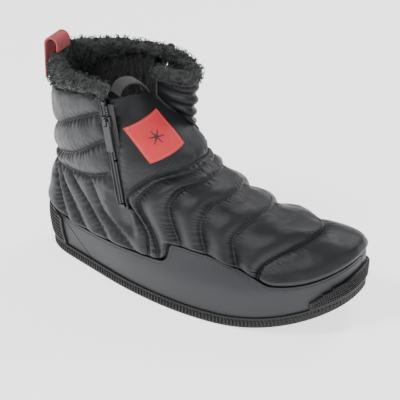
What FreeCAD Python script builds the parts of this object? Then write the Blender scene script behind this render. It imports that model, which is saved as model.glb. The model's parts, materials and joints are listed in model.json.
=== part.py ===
import FreeCAD, Part
import math
import os

# Insulated zip-up cross country boot, right foot.  Millimetres.
# x runs from heel to toe, y from the lateral to the medial side, z up from the floor.
V = FreeCAD.Vector

# ---- driving sizes ---------------------------------------------------------
LENGTH = 300.0          # heel to toe, over the rand
HALF_LATERAL = 58.0     # centre line to the outer edge of the forefoot
HALF_MEDIAL = 51.0      # centre line to the inner edge of the forefoot
SHAFT_HEIGHT = 190.0    # floor to the top of the pile cuff
TOE_SPRING = 26.0       # how far the toe is lifted
SPRING_START = 40.0     # where the sole leaves the floor
HEEL_LIFT = 3.0
SHAFT_YAW = 9.0         # the shaft is turned outwards, degrees
OUTSOLE = 9.0           # thicknesses
OUTSOLE_LIP = 1.5
MIDSOLE = 8.0
BOARD = 1.5
FOOTBED = 5.0
RAND = 2.2
PANEL = 4.0
STIFFENER = 1.4
PILE = 5.0
CUFF = 10.0
GAP = 0.3               # clearance between layers
SEAM = 0.8              # gap between panels along a seam
HINGE_Z = 126.3         # the front flap folds here
FOLD_GAP = 0.35
SLOT = 7.5              # zip centre to the panel edge
ZIP_TOP = 176.0
ZIP_BOTTOM = 86.0
SLIDER_Z = 162.0        # slider at rest
SLIDER_LENGTH = 9.0
TEETH = 2.0             # width of one row
TEETH_GAP = 0.15
TAPE = 1.0
SLIDER_CLEAR = 0.3
PULLER_LENGTH = 27.0
PULLER_WIDTH = 6.4
PULLER_THICK = 1.4
PULLER_BAR = 0.5         # radius of the bar it turns on
GUSSET = 3.0             # gathered fabric beside the tongue, and its pile
GUSSET_PILE = 3.2
GUSSET_GAP = 0.6
GUSSET_TOP = 182.0
TUFT = 1.0               # the pile cuff stands out from the panels
LOOP_RISE = 13.0         # webbing loop on the tongue
LOOP_THICK = 1.4
LOOP_WIDTH = 10.0
TAB_WIDTH = 20.0         # pull tab at the heel
TAB_TOP = 205.0
TAB_THICK = 1.5
TAB_SPAN = 14.0

# Cross-section at each height: z, back, widest, front, lateral and medial half width,
# roundness of the back and of the front, how much the heel narrows.
SECTIONS = [
    (0, -142, 32, 145, -2, -1, 2.8, 2.5, 0.44), (10, -146, 32, 149, 0, 0, 2.8, 2.5, 0.42),
    (30, -149, 30, 150, 0, 0, 2.7, 2.5, 0.36), (45, -148, 26, 146, -2, -2, 2.6, 2.4, 0.30),
    (58, -146, 14, 130, -5, -4, 2.5, 2.3, 0.24), (70, -144, -4, 110, -8, -5, 2.4, 2.2, 0.18),
    (82, -142, -24, 86, -10, -6, 2.3, 2.1, 0.12), (95, -141, -40, 58, -11, -6, 2.2, 2.05, 0.08),
    (110, -140, -52, 30, -12, -7, 2.1, 2.0, 0.03), (125, -140, -60, 8, -12, -7, 2.1, 2.0, 0.0),
    (140, -140, -62, -12, -12, -7, 2.1, 2.0, 0.0), (155, -141, -63, -33, -12, -7, 2.1, 2.0, 0.0),
    (168, -142, -63, -50, -11, -6, 2.1, 2.1, 0.0), (180, -143, -63, -56, -10, -5, 2.1, 2.2, 0.0),
    (190, -144, -63, -58, -9, -4, 2.1, 2.2, 0.0)]
KX, KZ = LENGTH / 300.0, SHAFT_HEIGHT / 190.0


def curve(table, x):
    """Smooth monotone curve through (x, y) pairs."""
    n = len(table)
    xs, ys = [p[0] for p in table], [p[1] for p in table]
    x = min(xs[-1], max(xs[0], x))
    i = max(k for k in range(n - 1) if xs[k] <= x)
    h = [xs[k + 1] - xs[k] for k in range(n - 1)]
    d = [(ys[k + 1] - ys[k]) / h[k] for k in range(n - 1)]

    def slope(k):
        if k in (0, n - 1):
            return d[min(k, n - 2)]
        if d[k - 1] * d[k] <= 0:
            return 0.0
        a, b = 2 * h[k] + h[k - 1], h[k] + 2 * h[k - 1]
        return (a + b) / (a / d[k - 1] + b / d[k])
    t = (x - xs[i]) / h[i]
    return ((2 * t**3 - 3 * t * t + 1) * ys[i] + (t**3 - 2 * t * t + t) * h[i] * slope(i)
            + (3 * t * t - 2 * t**3) * ys[i + 1] + (t**3 - t * t) * h[i] * slope(i + 1))


def smooth(t):
    t = min(1.0, max(0.0, t))
    return t * t * (3 - 2 * t)


def spring(x):
    """Height of the sole above the floor."""
    toe = max(0.0, (x / KX - SPRING_START) / (150 - SPRING_START))
    heel = max(0.0, (-x / KX - 120) / 30)
    return TOE_SPRING * toe**2 + HEEL_LIFT * heel**2


COLUMNS = [[(row[0], row[k]) for row in SECTIONS] for k in range(1, 9)]
SHAFT_FRONT = -5.0


def level(z, shaft):
    row = [curve(c, z / KZ) for c in COLUMNS]
    if shaft:
        row[2] = max(row[2], SHAFT_FRONT)
    return row


LEVELS = {}


def section_point(u, z, shaft):
    """Point of the outer surface at angle u (0 toe, 180 heel, minus lateral) and height z."""
    key = (round(z, 3), shaft)
    if key not in LEVELS:
        LEVELS[key] = level(z, shaft)
    back, wide, front, lat, med, n_back, n_front, narrow = LEVELS[key]
    c, s = math.cos(math.radians(u)), math.sin(math.radians(u))
    n, reach = (n_front, front - wide) if c >= 0 else (n_back, wide - back)
    along = math.copysign(abs(c)**(2 / n), c)
    x = wide + reach * along
    width = HALF_LATERAL + lat if s < 0 else HALF_MEDIAL + med
    if along < 0:
        width *= 1 - narrow * smooth(-along)
    y = math.copysign(width * abs(s)**(2 / n), s)
    y += 9 * max(0, (x - 30) / 120)**2 * smooth((130 - z) / 80)
    y += 3 * smooth((-x - 40) / 80) * smooth((110 - z) / 60)
    turn = math.radians(SHAFT_YAW) * smooth((z - 50) / 70)
    dx, cs, sn = x + 72.0, math.cos(turn), math.sin(turn)
    x = KX * (-72.0 + dx * cs + y * sn)
    y = -dx * sn + y * cs
    return V(x, y, z + spring(x))


STEP = 4.0
COUNT = 120
TABLES = {}


def even_angles(k, side, shaft):
    """Angles at equal lengths along the section at height k * STEP."""
    key = (k, side, shaft)
    if key not in TABLES:
        us = [180.0 * i / COUNT for i in range(COUNT + 1)]
        pts = [section_point(side * u, k * STEP, shaft) for u in us]
        run = [0.0]
        for a, b in zip(pts, pts[1:]):
            run.append(run[-1] + (b - a).Length)
        out, i = [], 0
        for j in range(COUNT + 1):
            want = run[-1] * j / COUNT
            while i < COUNT - 1 and run[i + 1] < want:
                i += 1
            out.append(us[i] + (us[i + 1] - us[i]) * (want - run[i]) / (run[i + 1] - run[i]))
        TABLES[key] = out
    return TABLES[key]


def surface(g, z, shaft=False):
    """Outer surface. g is 0 at the toe, -1 round the lateral and 1 round the medial side."""
    if g > 1:
        g -= 2
    if g < -1:
        g += 2
    side = -1 if g < 0 else 1
    k = max(0, int(z / STEP))
    f, t = min(abs(g) * COUNT, COUNT - 1e-9), z / STEP - k
    i = int(f)
    u = 0.0
    for part, weight in ((k, 1 - t), (k + 1, t)):
        table = even_angles(part, side, shaft)
        u += weight * (table[i] + (table[i + 1] - table[i]) * (f - i))
    return section_point(side * u, z, shaft)


def moved_in(g, z, depth, shaft=False):
    """The outer surface moved inwards along its normal."""
    a = surface(g + 0.006, z, shaft) - surface(g - 0.006, z, shaft)
    b = surface(g, z + 0.8, shaft) - surface(g, max(0, z - 0.8), shaft)
    n = a.cross(b)
    n.normalize()
    return surface(g, z, shaft) - n * depth


FOUND = {}


def station(x, z, side, shaft=False):
    """The g at which the section at height z passes x."""
    key = (round(x, 3), round(z, 3), side, shaft)
    if key not in FOUND:
        lo, hi = 0.0, 1.0
        for _ in range(26):
            mid = (lo + hi) / 2
            lo, hi = (mid, hi) if surface(side * mid, z, shaft).x > x * KX else (lo, mid)
        FOUND[key] = side * (lo + hi) / 2
    return FOUND[key]


# ---- solids ----------------------------------------------------------------
def through(points):
    c = Part.BSplineCurve()
    c.interpolate(points, Parameters=[i / (len(points) - 1) for i in range(len(points))])
    return c


def skin(points):
    """Smooth surface through a grid, evenly spaced in both directions."""
    rows = [through(row).getPoles() for row in points]
    columns = [through([row[j] for row in rows]) for j in range(len(rows[0]))]
    first = through(points[0])
    poles = [[c.getPoles()[i] for c in columns] for i in range(columns[0].NbPoles)]
    s = Part.BSplineSurface()
    s.buildFromPolesMultsKnots(poles, columns[0].getMultiplicities(), first.getMultiplicities(),
                               columns[0].getKnots(), first.getKnots(), False, False, 3, 3)
    return s


def shell_solid(place, ns, nt):
    """Closed solid between two grids; place(s, t, k) gives the outer (k=0) or inner (k=1)."""
    skins = [skin([[place(i / ns, j / nt, k) for j in range(nt + 1)] for i in range(ns + 1)])
             for k in (0, 1)]
    faces = [s.toShape() for s in skins]
    u0, u1, v0, v1 = skins[0].bounds()
    for name, at in (("uIso", u0), ("uIso", u1), ("vIso", v0), ("vIso", v1)):
        edges = [getattr(s, name)(at).toShape() for s in skins]
        faces.append(Part.makeRuledSurface(edges[0], edges[1], 1))
    shell = Part.makeShell(faces)
    shell.sewShape()
    solid = Part.makeSolid(shell)
    if solid.Volume < 0:
        solid.reverse()
    return solid


def sheet(span, height, depth, ns=16, nt=12, shaft=False):
    """A layer of the upper. span(t, z) gives g at both ends, height(s) z at the bottom and
    top, depth(x, z, side) how deep the outer and the inner face lie."""
    def place(s, t, k):
        low, high = height(s)
        z = low + (high - low) * t
        a, b = span(z)
        g = a + (b - a) * s
        x = surface(g, z, shaft).x / KX
        return moved_in(g, z, depth(x, z, g)[k], shaft)
    return shell_solid(place, ns, nt)


def outline(z, depth):
    pts = [moved_in(-1 + 2 * (i + 0.5) / 72, z, depth) for i in range(72)]
    ring = Part.BSplineCurve()
    ring.interpolate([V(p.x, p.y, 0) for p in pts], PeriodicFlag=True)
    return Part.Face(Part.Wire(ring.toShape()))


def slab(z, thick, depth):
    """A flat layer that follows the toe spring."""
    body = outline(10.0, depth).extrude(V(0, 0, 120))
    body.translate(V(0, 0, -10))
    xs = [-170 * KX, -145 * KX, -132 * KX, -120 * KX]
    xt = [SPRING_START * KX + 22 * i * KX for i in range(7)]

    def run(stations, dz, back=False):
        pts = [V(x, -200, spring(x) + dz) for x in stations]
        c = Part.BSplineCurve()
        c.interpolate(pts[::-1] if back else pts)
        return c.toShape()
    low = [run(xs, z), Part.makeLine(V(xs[-1], -200, z), V(xt[0], -200, z)), run(xt, z)]
    high = [run(xs, z + thick), Part.makeLine(V(xs[-1], -200, z + thick),
            V(xt[0], -200, z + thick)), run(xt, z + thick)]
    ends = [Part.makeLine(V(x, -200, spring(x) + z), V(x, -200, spring(x) + z + thick))
            for x in (xs[0], xt[-1])]
    wire = Part.Wire(Part.__sortEdges__(low + [ends[1]] + high + [ends[0]]))
    return body.common(Part.Face(wire).extrude(V(0, 400, 0))).Solids[0]


def box(b, n, d, round_by=0.0):
    """Box: b across the zip, n outwards, d down the zip."""
    out = Part.makeBox(b[1] - b[0], n[1] - n[0], d[1] - d[0], V(b[0], n[0], d[0]))
    return out.makeFillet(round_by, out.Edges) if round_by else out


def put(shape, frame):
    """Set a shape drawn in zip coordinates into the boot."""
    origin, across, out, down = frame
    m = FreeCAD.Matrix(across.x, out.x, down.x, origin.x, across.y, out.y, down.y, origin.y,
                       across.z, out.z, down.z, origin.z, 0, 0, 0, 1)
    moved = shape.copy()
    moved.Placement = FreeCAD.Placement(m)
    return moved


# ---- the lines that the pieces meet along -----------------------------------
SHIFT = {-1: 0.0, 1: 7.0}        # the medial side sits further forward


def seam_x(z, side):
    """Quarter seam below, straight zip line above."""
    straight = -47.5 - 0.165 * (z - 84)
    low = curve([(14, -16), (43, -24), (70, -38), (84, -47.5)], z)
    return SHIFT[side] + (straight if z > 84 else low)


def slot(z):
    return SEAM / 2 + (SLOT - SEAM / 2) * smooth((z - 62) / 21)


def rand_top(x, g):
    if g > 0:
        return curve([(-150, 44), (-109, 39), (0, 40), (60, 42), (100, 37), (150, 35)], x)
    return curve([(-150, 44), (-109, 38), (-38, 41), (-8, 43), (18, 61), (50, 60), (72, 53),
                  (93, 38), (130, 34), (150, 35)], x)


def tuck(x, z, g):
    """Panels bulge out above the rand and run down behind it."""
    line = max(rand_top(x + d, g) for d in (-10, -5, 0, 5, 10)) + 2.0
    return (RAND + 2 * GAP) * (1 - smooth((z - line) / 7.0))


def panel_depth(x, z, g):
    d = tuck(x, z, g)
    return d, d + PANEL


def pile_depth(x, z, g):
    low = RAND + PANEL + STIFFENER + 4 * GAP
    d = low + (PANEL + GAP - low) * smooth((z - 72) / 16)
    return d, d + PILE


def stiff_depth(x, z, g):
    d = RAND + PANEL + 3 * GAP
    return d, d + STIFFENER


PANEL_FOOT = OUTSOLE + GAP + MIDSOLE + GAP
PILE_FOOT = PANEL_FOOT + BOARD + GAP
RAND_FOOT = OUTSOLE + GAP
QUARTER_TOP = [(-150, 159), (-140, 161), (-118, 171), (-93, 180), (-75, 184), (-50, 185)]
TOE_X = 84.0                     # where the toe seam meets the rand
parts = {}


def rand_depth(x, z, g):
    return 0.0, RAND


def heel_seam(z, side):
    """Slanted seam between the heel piece and the side pieces of the rand."""
    return station(-87 - 37 * min(1, max(0, (z - 6) / 30)), z, side)


def rand(side):
    return sheet(lambda z: (heel_seam(z, side) - side * 0.002, side * 0.0008),
                 lambda s: (RAND_FOOT, top_of_rand[side](s)), rand_depth, 40, 6)


def top_along(side):
    """Rand height by the fraction of the way from the heel seam to the toe."""
    pairs = []
    for i in range(61):
        s = i / 60.0
        g = heel_seam(38, side) * (1 - s)
        pairs.append((s, rand_top(surface(g, 40).x / KX, side)))
    return lambda s: curve(pairs, s)


top_of_rand = {-1: top_along(-1), 1: top_along(1)}
parts["rand_lateral"] = rand(-1)
parts["rand_medial"] = rand(1)
parts["rand_heel"] = sheet(
    lambda z: (heel_seam(z, 1) + 0.002, 2 + heel_seam(z, -1) - 0.002),
    lambda s: (RAND_FOOT, 38 + 5 * math.sin(math.pi * s)), rand_depth, 20, 6)
parts["heel_bumper"] = sheet(
    lambda z: (0.90, 1.10), lambda s: (RAND_FOOT + 1.2, 36 + 11 * math.sin(math.pi * s)),
    lambda x, z, g: (-2.0, -GAP), 12, 5)
parts["toe_bumper"] = sheet(
    lambda z: (-0.16, 0.15), lambda s: (RAND_FOOT + 1.0, 16 + 9 * math.sin(math.pi * s)),
    lambda x, z, g: (-2.4, -GAP), 24, 4)

parts["outsole"] = slab(0, OUTSOLE, -OUTSOLE_LIP)
parts["midsole"] = slab(OUTSOLE + GAP, MIDSOLE, RAND + 2 * GAP)
parts["lasting_board"] = slab(PANEL_FOOT, BOARD, RAND + PANEL + 1.0)
parts["footbed"] = slab(PILE_FOOT, FOOTBED, RAND + PANEL + STIFFENER + PILE + 2.0)


# ---- upper panels ------------------------------------------------------------
def quarter(side, depth, foot, inset=0.0):
    return sheet(
        lambda z: (side * (1 - 0.0008),
                   station(seam_x(z, side) - max(slot(z) - inset, SEAM / 2), z, side, True)),
        lambda s: (foot, quarter_top(side * (1 - s) + station(seam_x(175, side) - SLOT, 175,
                                                              side, True) * s)),
        depth, 26, 36, True)


def quarter_top(g):
    return curve(QUARTER_TOP, surface(g, 175, True).x / KX)


def toe_seam_z(g):
    return 45 + 19 * math.cos(0.5 * math.pi * min(1, abs(g) / abs(toe_end))) ** 1.2


toe_end = station(TOE_X, 45, -1)


def toe(depth, foot, drop=0.0):
    return sheet(lambda z: (toe_end, -toe_end),
                 lambda s: (foot, toe_seam_z(toe_end * (1 - 2 * s)) - drop), depth, 28, 10)


def arch(t, foot):
    """Rear and front border of the vamp at t, from the lateral to the medial foot."""
    side = -1 if t < 0.5 else 1
    f = 1 - abs(2 * t - 1)                 # 0 at the foot, 1 at the crest
    if f < 0.5:
        z = foot + (92 - foot) * f / 0.5
        rear = (station(seam_x(z, side) + slot(z), z, side), z)
    else:
        g = TONGUE_SEAM[side] * (1 - f) / 0.5
        rear = (g, tongue_seam_z(g))
    if f < 0.3:
        z = foot + (43 - foot) * f / 0.3
        front = (side * abs(toe_end) * 1.012, z)
    else:
        e = (f - 0.3) / 0.7
        g = side * abs(toe_end) * 1.012 * (1 - e)
        front = (g, toe_seam_z(g) + 2 * SEAM * smooth(e * 3))
    return rear, front


def vamp(depth, foot):
    def place(s, t, k):
        (ga, za), (gb, zb) = arch(t, foot)
        g, z = ga + (gb - ga) * s, za + (zb - za) * s
        return moved_in(g, z, depth(surface(g, z).x / KX, z, g)[k])
    return shell_solid(place, 18, 72)


TONGUE_SEAM = {k: station(seam_x(92, k) + SLOT, 92, k) for k in (-1, 1)}


def tongue_seam_z(g):
    """The tongue seam: low beside the zips and high over the crest."""
    e = min(1.0, abs(g) / abs(TONGUE_SEAM[-1 if g < 0 else 1]))
    return 92 + 26 * math.cos(0.5 * math.pi * e)


def instep(depth, inset=0.0):
    def span(z):
        return [station(seam_x(z, k) + SLOT - inset, z, k) for k in (-1, 1)]

    def low(s):
        z = 105.0
        for _ in range(12):
            a, b = span(z)
            z = 0.5 * z + 0.5 * (tongue_seam_z(a + (b - a) * s) + 2 * SEAM)
        return z
    return sheet(span, lambda s: (low(s), HINGE_Z - FOLD_GAP), depth, 40, 8)


parts["quarter_lateral"] = quarter(-1, panel_depth, PANEL_FOOT)
parts["quarter_medial"] = quarter(1, panel_depth, PANEL_FOOT)
parts["toe_panel"] = toe(panel_depth, PANEL_FOOT)
parts["vamp_panel"] = vamp(panel_depth, PANEL_FOOT)
parts["instep_panel"] = instep(panel_depth)
parts["quarter_pile_lateral"] = quarter(-1, pile_depth, PILE_FOOT, SLOT - 0.8)
parts["quarter_pile_medial"] = quarter(1, pile_depth, PILE_FOOT, SLOT - 0.8)
parts["toe_pile"] = toe(pile_depth, PILE_FOOT)
parts["vamp_pile"] = vamp(pile_depth, PILE_FOOT)
parts["instep_pile"] = instep(pile_depth, SLOT - 0.8)
parts["heel_counter"] = sheet(
    lambda z: (0.72, 1.28), lambda s: (PILE_FOOT, 52 + 14 * math.sin(math.pi * s)),
    stiff_depth, 20, 8)
parts["toe_puff"] = sheet(
    lambda z: (-0.2, 0.2), lambda s: (PILE_FOOT, 32 + 14 * math.sin(math.pi * s)),
    stiff_depth, 20, 6)


# ---- front flap: tongue and the gathered gusset beside it --------------------
FLAP_FOOT = HINGE_Z + FOLD_GAP
TONGUE_EDGE = [(120, 0.215), (128, 0.20), (145, 0.13), (164, 0.06), (180, 0.05)]
TONGUE_TOP = [(0, 177), (0.5, 173), (1, 167)]


def tongue_lateral(z, inset):
    g = station(seam_x(z, -1) + SLOT - inset, min(z, 150), -1)
    return max(g, curve([(150, g), (164, -0.236), (180, -0.206)], z) if z > 150 else g)


def tongue(depth, inset=0.0, short=0.0):
    return sheet(lambda z: (tongue_lateral(z, inset), curve(TONGUE_EDGE, z) - short),
                 lambda s: (FLAP_FOOT, curve(TONGUE_TOP, s)), depth, 20, 16)


def gusset_point(s, z, depth):
    """From the medial zip round the front of the shaft and back to the tongue."""
    def at(s, z):
        g0 = station(seam_x(z, 1) + SLOT, z, 1, True)
        g1 = curve([(120, 0.30), (134, 0.20), (160, 0.16), (190, 0.16)], z)
        if s < 0.6:
            return surface(g0 + (g1 - g0) * s / 0.6, z, True)
        u = (s - 0.6) / 0.4
        a, b = surface(g1, z, True), surface(g1 - 0.10, z, True)
        c = surface(curve(TONGUE_EDGE, min(z, 166)) + 0.012, min(z, 166))
        c = V(c.x, c.y, z)
        return a * (1 - u)**2 + b * 2 * u * (1 - u) + c * u * u
    p = at(s, z)
    n = (at(min(1, s + 0.01), z) - at(max(0, s - 0.01), z)).cross(at(s, z + 1) - at(s, z - 1))
    n.normalize()
    return p + n * depth


def gusset(outer, inner, foot, top, part=1.0):
    def place(s, t, k):
        z = foot + (top - foot) * t
        return gusset_point(s * part, z, (outer, inner)[k])
    return shell_solid(place, 26, 12)


parts["tongue_panel"] = tongue(panel_depth)
parts["tongue_pile"] = tongue(pile_depth, SLOT - 3.5, 0.06)
parts["gusset_medial"] = gusset(0, GUSSET, FLAP_FOOT, GUSSET_TOP)
parts["gusset_pile"] = gusset(GUSSET + GUSSET_GAP, GUSSET + GUSSET_GAP + GUSSET_PILE, FLAP_FOOT, GUSSET_TOP,
                              0.5)
parts["cuff_front"] = gusset(-TUFT, GUSSET + GUSSET_GAP + GUSSET_PILE, GUSSET_TOP + GAP, SHAFT_HEIGHT + 3)


def cuff_span(z):
    return (station(seam_x(z, -1) - 1.2, z, -1, True), -2 + station(seam_x(z, 1) - 1.2, z, 1, True))


def cuff_heights(s):
    a, b = cuff_span(175)
    return (quarter_top(a + (b - a) * s) + GAP + 0.6,
            SHAFT_HEIGHT + 3 - 4 * math.sin(math.pi * s))


parts["cuff_rear"] = sheet(cuff_span, cuff_heights, lambda x, z, g: (-TUFT, CUFF - TUFT), 52, 6, True)

PATCH = [(-0.253, 153.6), (-0.024, 158.3), (-0.223, 127.8), (-0.025, 136.0)]


def patch_place(s, t, k):
    (a, b, c, d) = PATCH
    g = (a[0] * (1 - t) + b[0] * t) * (1 - s) + (c[0] * (1 - t) + d[0] * t) * s
    z = (a[1] * (1 - t) + b[1] * t) * (1 - s) + (c[1] * (1 - t) + d[1] * t) * s
    return moved_in(g, z, (-1.0, -0.12)[k])


parts["tongue_patch"] = shell_solid(patch_place, 8, 8)


def tongue_loop_place(s, t, k):
    a = moved_in(-0.19, 178.8, 0.5 * PANEL)
    b = moved_in(0.03, 169.8, 0.5 * PANEL)
    rise = LOOP_RISE - LOOP_THICK * k
    turn = math.pi * s
    mid = (a + b) * 0.5
    half = (b - a) * 0.5
    scale = 1 - LOOP_THICK * k / half.Length
    p = mid - half * math.cos(turn) * scale + V(0, 0, rise) * math.sin(turn)
    return p + V(LOOP_WIDTH, -3, -2) * (t - 0.5)


parts["tongue_pull_loop"] = shell_solid(tongue_loop_place, 16, 3)


def label_place(s, t, k):
    return moved_in(-0.13 + 0.07 * s, 150 + 14 * t, PANEL + GAP + PILE + (0.15, 0.55)[k])


parts["size_label"] = shell_solid(label_place, 5, 5)

# ---- heel pull tab -----------------------------------------------------------


def heel_tab():
    x0 = section_point(180, 186, True).x - TUFT - 1.4 - TAB_THICK
    w, r = TAB_SPAN, TAB_SPAN / 2
    z0, z1, z2 = 166.0, SHAFT_HEIGHT + 2.4, TAB_TOP - TAB_SPAN / 2

    def ring(inset):
        a, b = V(x0 + inset, -TAB_WIDTH / 2, z2), V(x0 + w - inset, -TAB_WIDTH / 2, z2)
        top = V(x0 + r, -TAB_WIDTH / 2, z2 + r - inset)
        return a, b, top
    (a, b, top), (c, d, low) = ring(0), ring(TAB_THICK)
    p0, p1 = V(a.x, a.y, z0), V(b.x, a.y, z1)
    q0, q1 = V(c.x, a.y, z0), V(d.x, a.y, z1)
    edges = [Part.makeLine(p0, a), Part.Arc(a, top, b).toShape(), Part.makeLine(b, p1),
             Part.makeLine(p1, q1), Part.makeLine(q1, d), Part.Arc(d, low, c).toShape(),
             Part.makeLine(c, q0), Part.makeLine(q0, p0)]
    return Part.Face(Part.Wire(edges)).extrude(V(0, TAB_WIDTH, 0))


parts["heel_pull_tab"] = heel_tab()


# ---- zips --------------------------------------------------------------------
def zip_frame(side):
    def on(z):
        return surface(station(seam_x(z, side), z, side, True), z, True)
    top, low = on(ZIP_TOP), on(ZIP_BOTTOM)
    down = (low - top).normalize()
    mid = (ZIP_TOP + ZIP_BOTTOM) / 2
    g = station(seam_x(mid, side), mid, side, True)
    out = (surface(g + 0.01, mid, True) - surface(g - 0.01, mid, True)).cross(V(0, 0, 1))
    out = (out - down * out.dot(down)).normalize()
    return (top, out.cross(down), out, down), (low - top).Length


def zip_parts(side, name):
    frame, length = zip_frame(side)
    top, across, out, down = frame
    fore = -side                 # front of the boot along the zip's own cross axis
    fold = (top.z - HINGE_Z) / -down.z
    rest = (top.z - SLIDER_Z) / -down.z

    def strip(b0, b1, n, d):
        return put(box((min(fore * b0, fore * b1), max(fore * b0, fore * b1)), n, d), frame)
    teeth = (-1.3, 0.7)
    tape = (-1.0 - SLIDER_CLEAR - TAPE, -1.0 - SLIDER_CLEAR)
    half = TEETH_GAP, TEETH_GAP + TEETH
    reach = TEETH_GAP + TEETH + 0.1, SLOT - 0.6
    upper, lower = (0, fold - FOLD_GAP), (fold + FOLD_GAP, length)
    parts["zip_tape_rear_" + name] = strip(-reach[0], -reach[1], tape, (-6, length))
    parts["zip_tape_front_upper_" + name] = strip(*reach, tape, upper)
    parts["zip_tape_front_lower_" + name] = strip(*reach, tape, lower)
    parts["zip_teeth_rear_" + name] = strip(-half[0], -half[1], teeth, (0, length))
    parts["zip_teeth_front_upper_" + name] = strip(*half, teeth, upper)
    parts["zip_teeth_front_lower_" + name] = strip(*half, teeth, lower)
    parts["zip_top_stop_" + name] = strip(-half[0], -half[1] - 0.6, (-1.3, 1.1), (-3.2, -0.3))
    parts["zip_bottom_stop_" + name] = strip(-half[1] - 0.4, half[1] + 0.4, (-1.3, 1.2),
                                             (length + 0.3, length + 3.0))
    plate = 0.7 + SLIDER_CLEAR, 2.4
    wall = half[1] + SLIDER_CLEAR, half[1] + SLIDER_CLEAR + 1.3
    d0, d1 = rest - SLIDER_LENGTH / 2, rest + SLIDER_LENGTH / 2
    body = box((-wall[1], wall[1]), plate, (d0, d1), 0.4)
    for k in (-1, 1):
        body = body.fuse(box((min(k * wall[0], k * wall[1]), max(k * wall[0], k * wall[1])),
                             (-1.0, 1.9), (d0 + 0.4, d1 - 0.4)))
    thin = PULLER_THICK / 2
    pin_n, pin_d = plate[1] + thin + SLIDER_CLEAR, rest - 0.6
    for d in (pin_d - 2.9, pin_d + 2.0):
        body = body.fuse(box((-1.1, 1.1), (plate[1] - 0.2, pin_n + 1.7), (d, d + 0.9)))
    body = body.fuse(box((-1.1, 1.1), (pin_n + 0.85, pin_n + 1.7), (pin_d - 2.9, pin_d + 2.9)))
    parts["zip_slider_" + name] = put(body.removeSplitter().Solids[0], frame)
    w = PULLER_WIDTH / 2
    tab = box((-w, w), (pin_n - thin, pin_n + thin), (pin_d, pin_d + PULLER_LENGTH))
    tab = tab.fuse(Part.makeCylinder(thin, 2 * w, V(-w, pin_n, pin_d), V(1, 0, 0)))
    tab = tab.cut(box((-1.7, 1.7), (pin_n - 2, pin_n + 2), (pin_d - 4, pin_d + 4.2)))
    tab = tab.fuse(Part.makeCylinder(PULLER_BAR, 3.6, V(-1.8, pin_n, pin_d), V(1, 0, 0)))
    parts["zip_puller_" + name] = put(tab.removeSplitter().Solids[0], frame)
    return frame, length, rest, pin_n, pin_d


ZIPS = {"lateral": zip_parts(-1, "lateral"), "medial": zip_parts(1, "medial")}

# ---- the origin is the middle of the underside of the whole boot ---------------
whole = FreeCAD.BoundBox()
for part in parts.values():
    whole.add(part.optimalBoundingBox(False))
ORIGIN = V(-(whole.XMin + whole.XMax) / 2, -(whole.YMin + whole.YMax) / 2, -whole.ZMin)

os.makedirs("parts", exist_ok=True)
for name, part in parts.items():
    part.translate(ORIGIN)
    part.exportStep("parts/" + name + ".step")
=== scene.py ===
# %% [markdown]
# # Cross country boot
# An insulated zip-up boot: quilted upper, pile lining and cuff, rubber rand and sole.
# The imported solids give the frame. Hard pieces keep their solids and get materials here.
# Fabric pieces are rebuilt on the same outer surface, with quilting, puckers and stitches.

# %% Load the frame
import json
import math
import bpy
import numpy as np
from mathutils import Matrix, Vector, kdtree


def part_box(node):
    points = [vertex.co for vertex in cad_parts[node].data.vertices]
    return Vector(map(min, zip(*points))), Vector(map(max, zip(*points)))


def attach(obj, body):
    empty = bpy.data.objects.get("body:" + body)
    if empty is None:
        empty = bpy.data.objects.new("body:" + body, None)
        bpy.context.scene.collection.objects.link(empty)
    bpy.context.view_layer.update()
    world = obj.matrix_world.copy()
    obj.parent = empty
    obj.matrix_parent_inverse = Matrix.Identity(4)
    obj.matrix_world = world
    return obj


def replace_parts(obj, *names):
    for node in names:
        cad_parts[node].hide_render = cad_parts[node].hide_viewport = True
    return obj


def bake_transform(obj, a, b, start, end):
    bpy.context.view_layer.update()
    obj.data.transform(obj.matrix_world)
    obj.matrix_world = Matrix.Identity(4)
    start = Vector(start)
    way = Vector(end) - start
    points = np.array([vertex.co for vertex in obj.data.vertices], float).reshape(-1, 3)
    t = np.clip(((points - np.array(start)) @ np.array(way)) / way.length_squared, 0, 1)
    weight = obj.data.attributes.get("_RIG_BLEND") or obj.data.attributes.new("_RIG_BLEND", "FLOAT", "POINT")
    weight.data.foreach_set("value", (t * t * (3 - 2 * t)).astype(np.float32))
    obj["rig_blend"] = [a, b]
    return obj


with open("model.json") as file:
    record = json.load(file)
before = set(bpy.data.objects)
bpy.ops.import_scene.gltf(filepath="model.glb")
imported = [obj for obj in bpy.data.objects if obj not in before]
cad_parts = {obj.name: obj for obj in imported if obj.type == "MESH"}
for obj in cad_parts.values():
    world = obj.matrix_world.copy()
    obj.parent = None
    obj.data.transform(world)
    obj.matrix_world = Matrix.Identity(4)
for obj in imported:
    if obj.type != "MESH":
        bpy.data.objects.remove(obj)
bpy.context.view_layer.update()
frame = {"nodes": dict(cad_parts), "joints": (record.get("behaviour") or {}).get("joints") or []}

NODES, JOINTS = frame["nodes"], {j["name"]: j for j in frame["joints"]}

# %% [markdown]
# ## The outer surface
# The boot has one smooth outside that every layer follows. It could be sculpted by hand, or a
# body could be lofted and copied. Here it is a formula, so that a panel, a stitch or a tuft can
# ask for its place. Sections are given at heights: back, widest and front station, half widths,
# roundness of the back and the front, and how much the heel narrows, all in millimetres.

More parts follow.
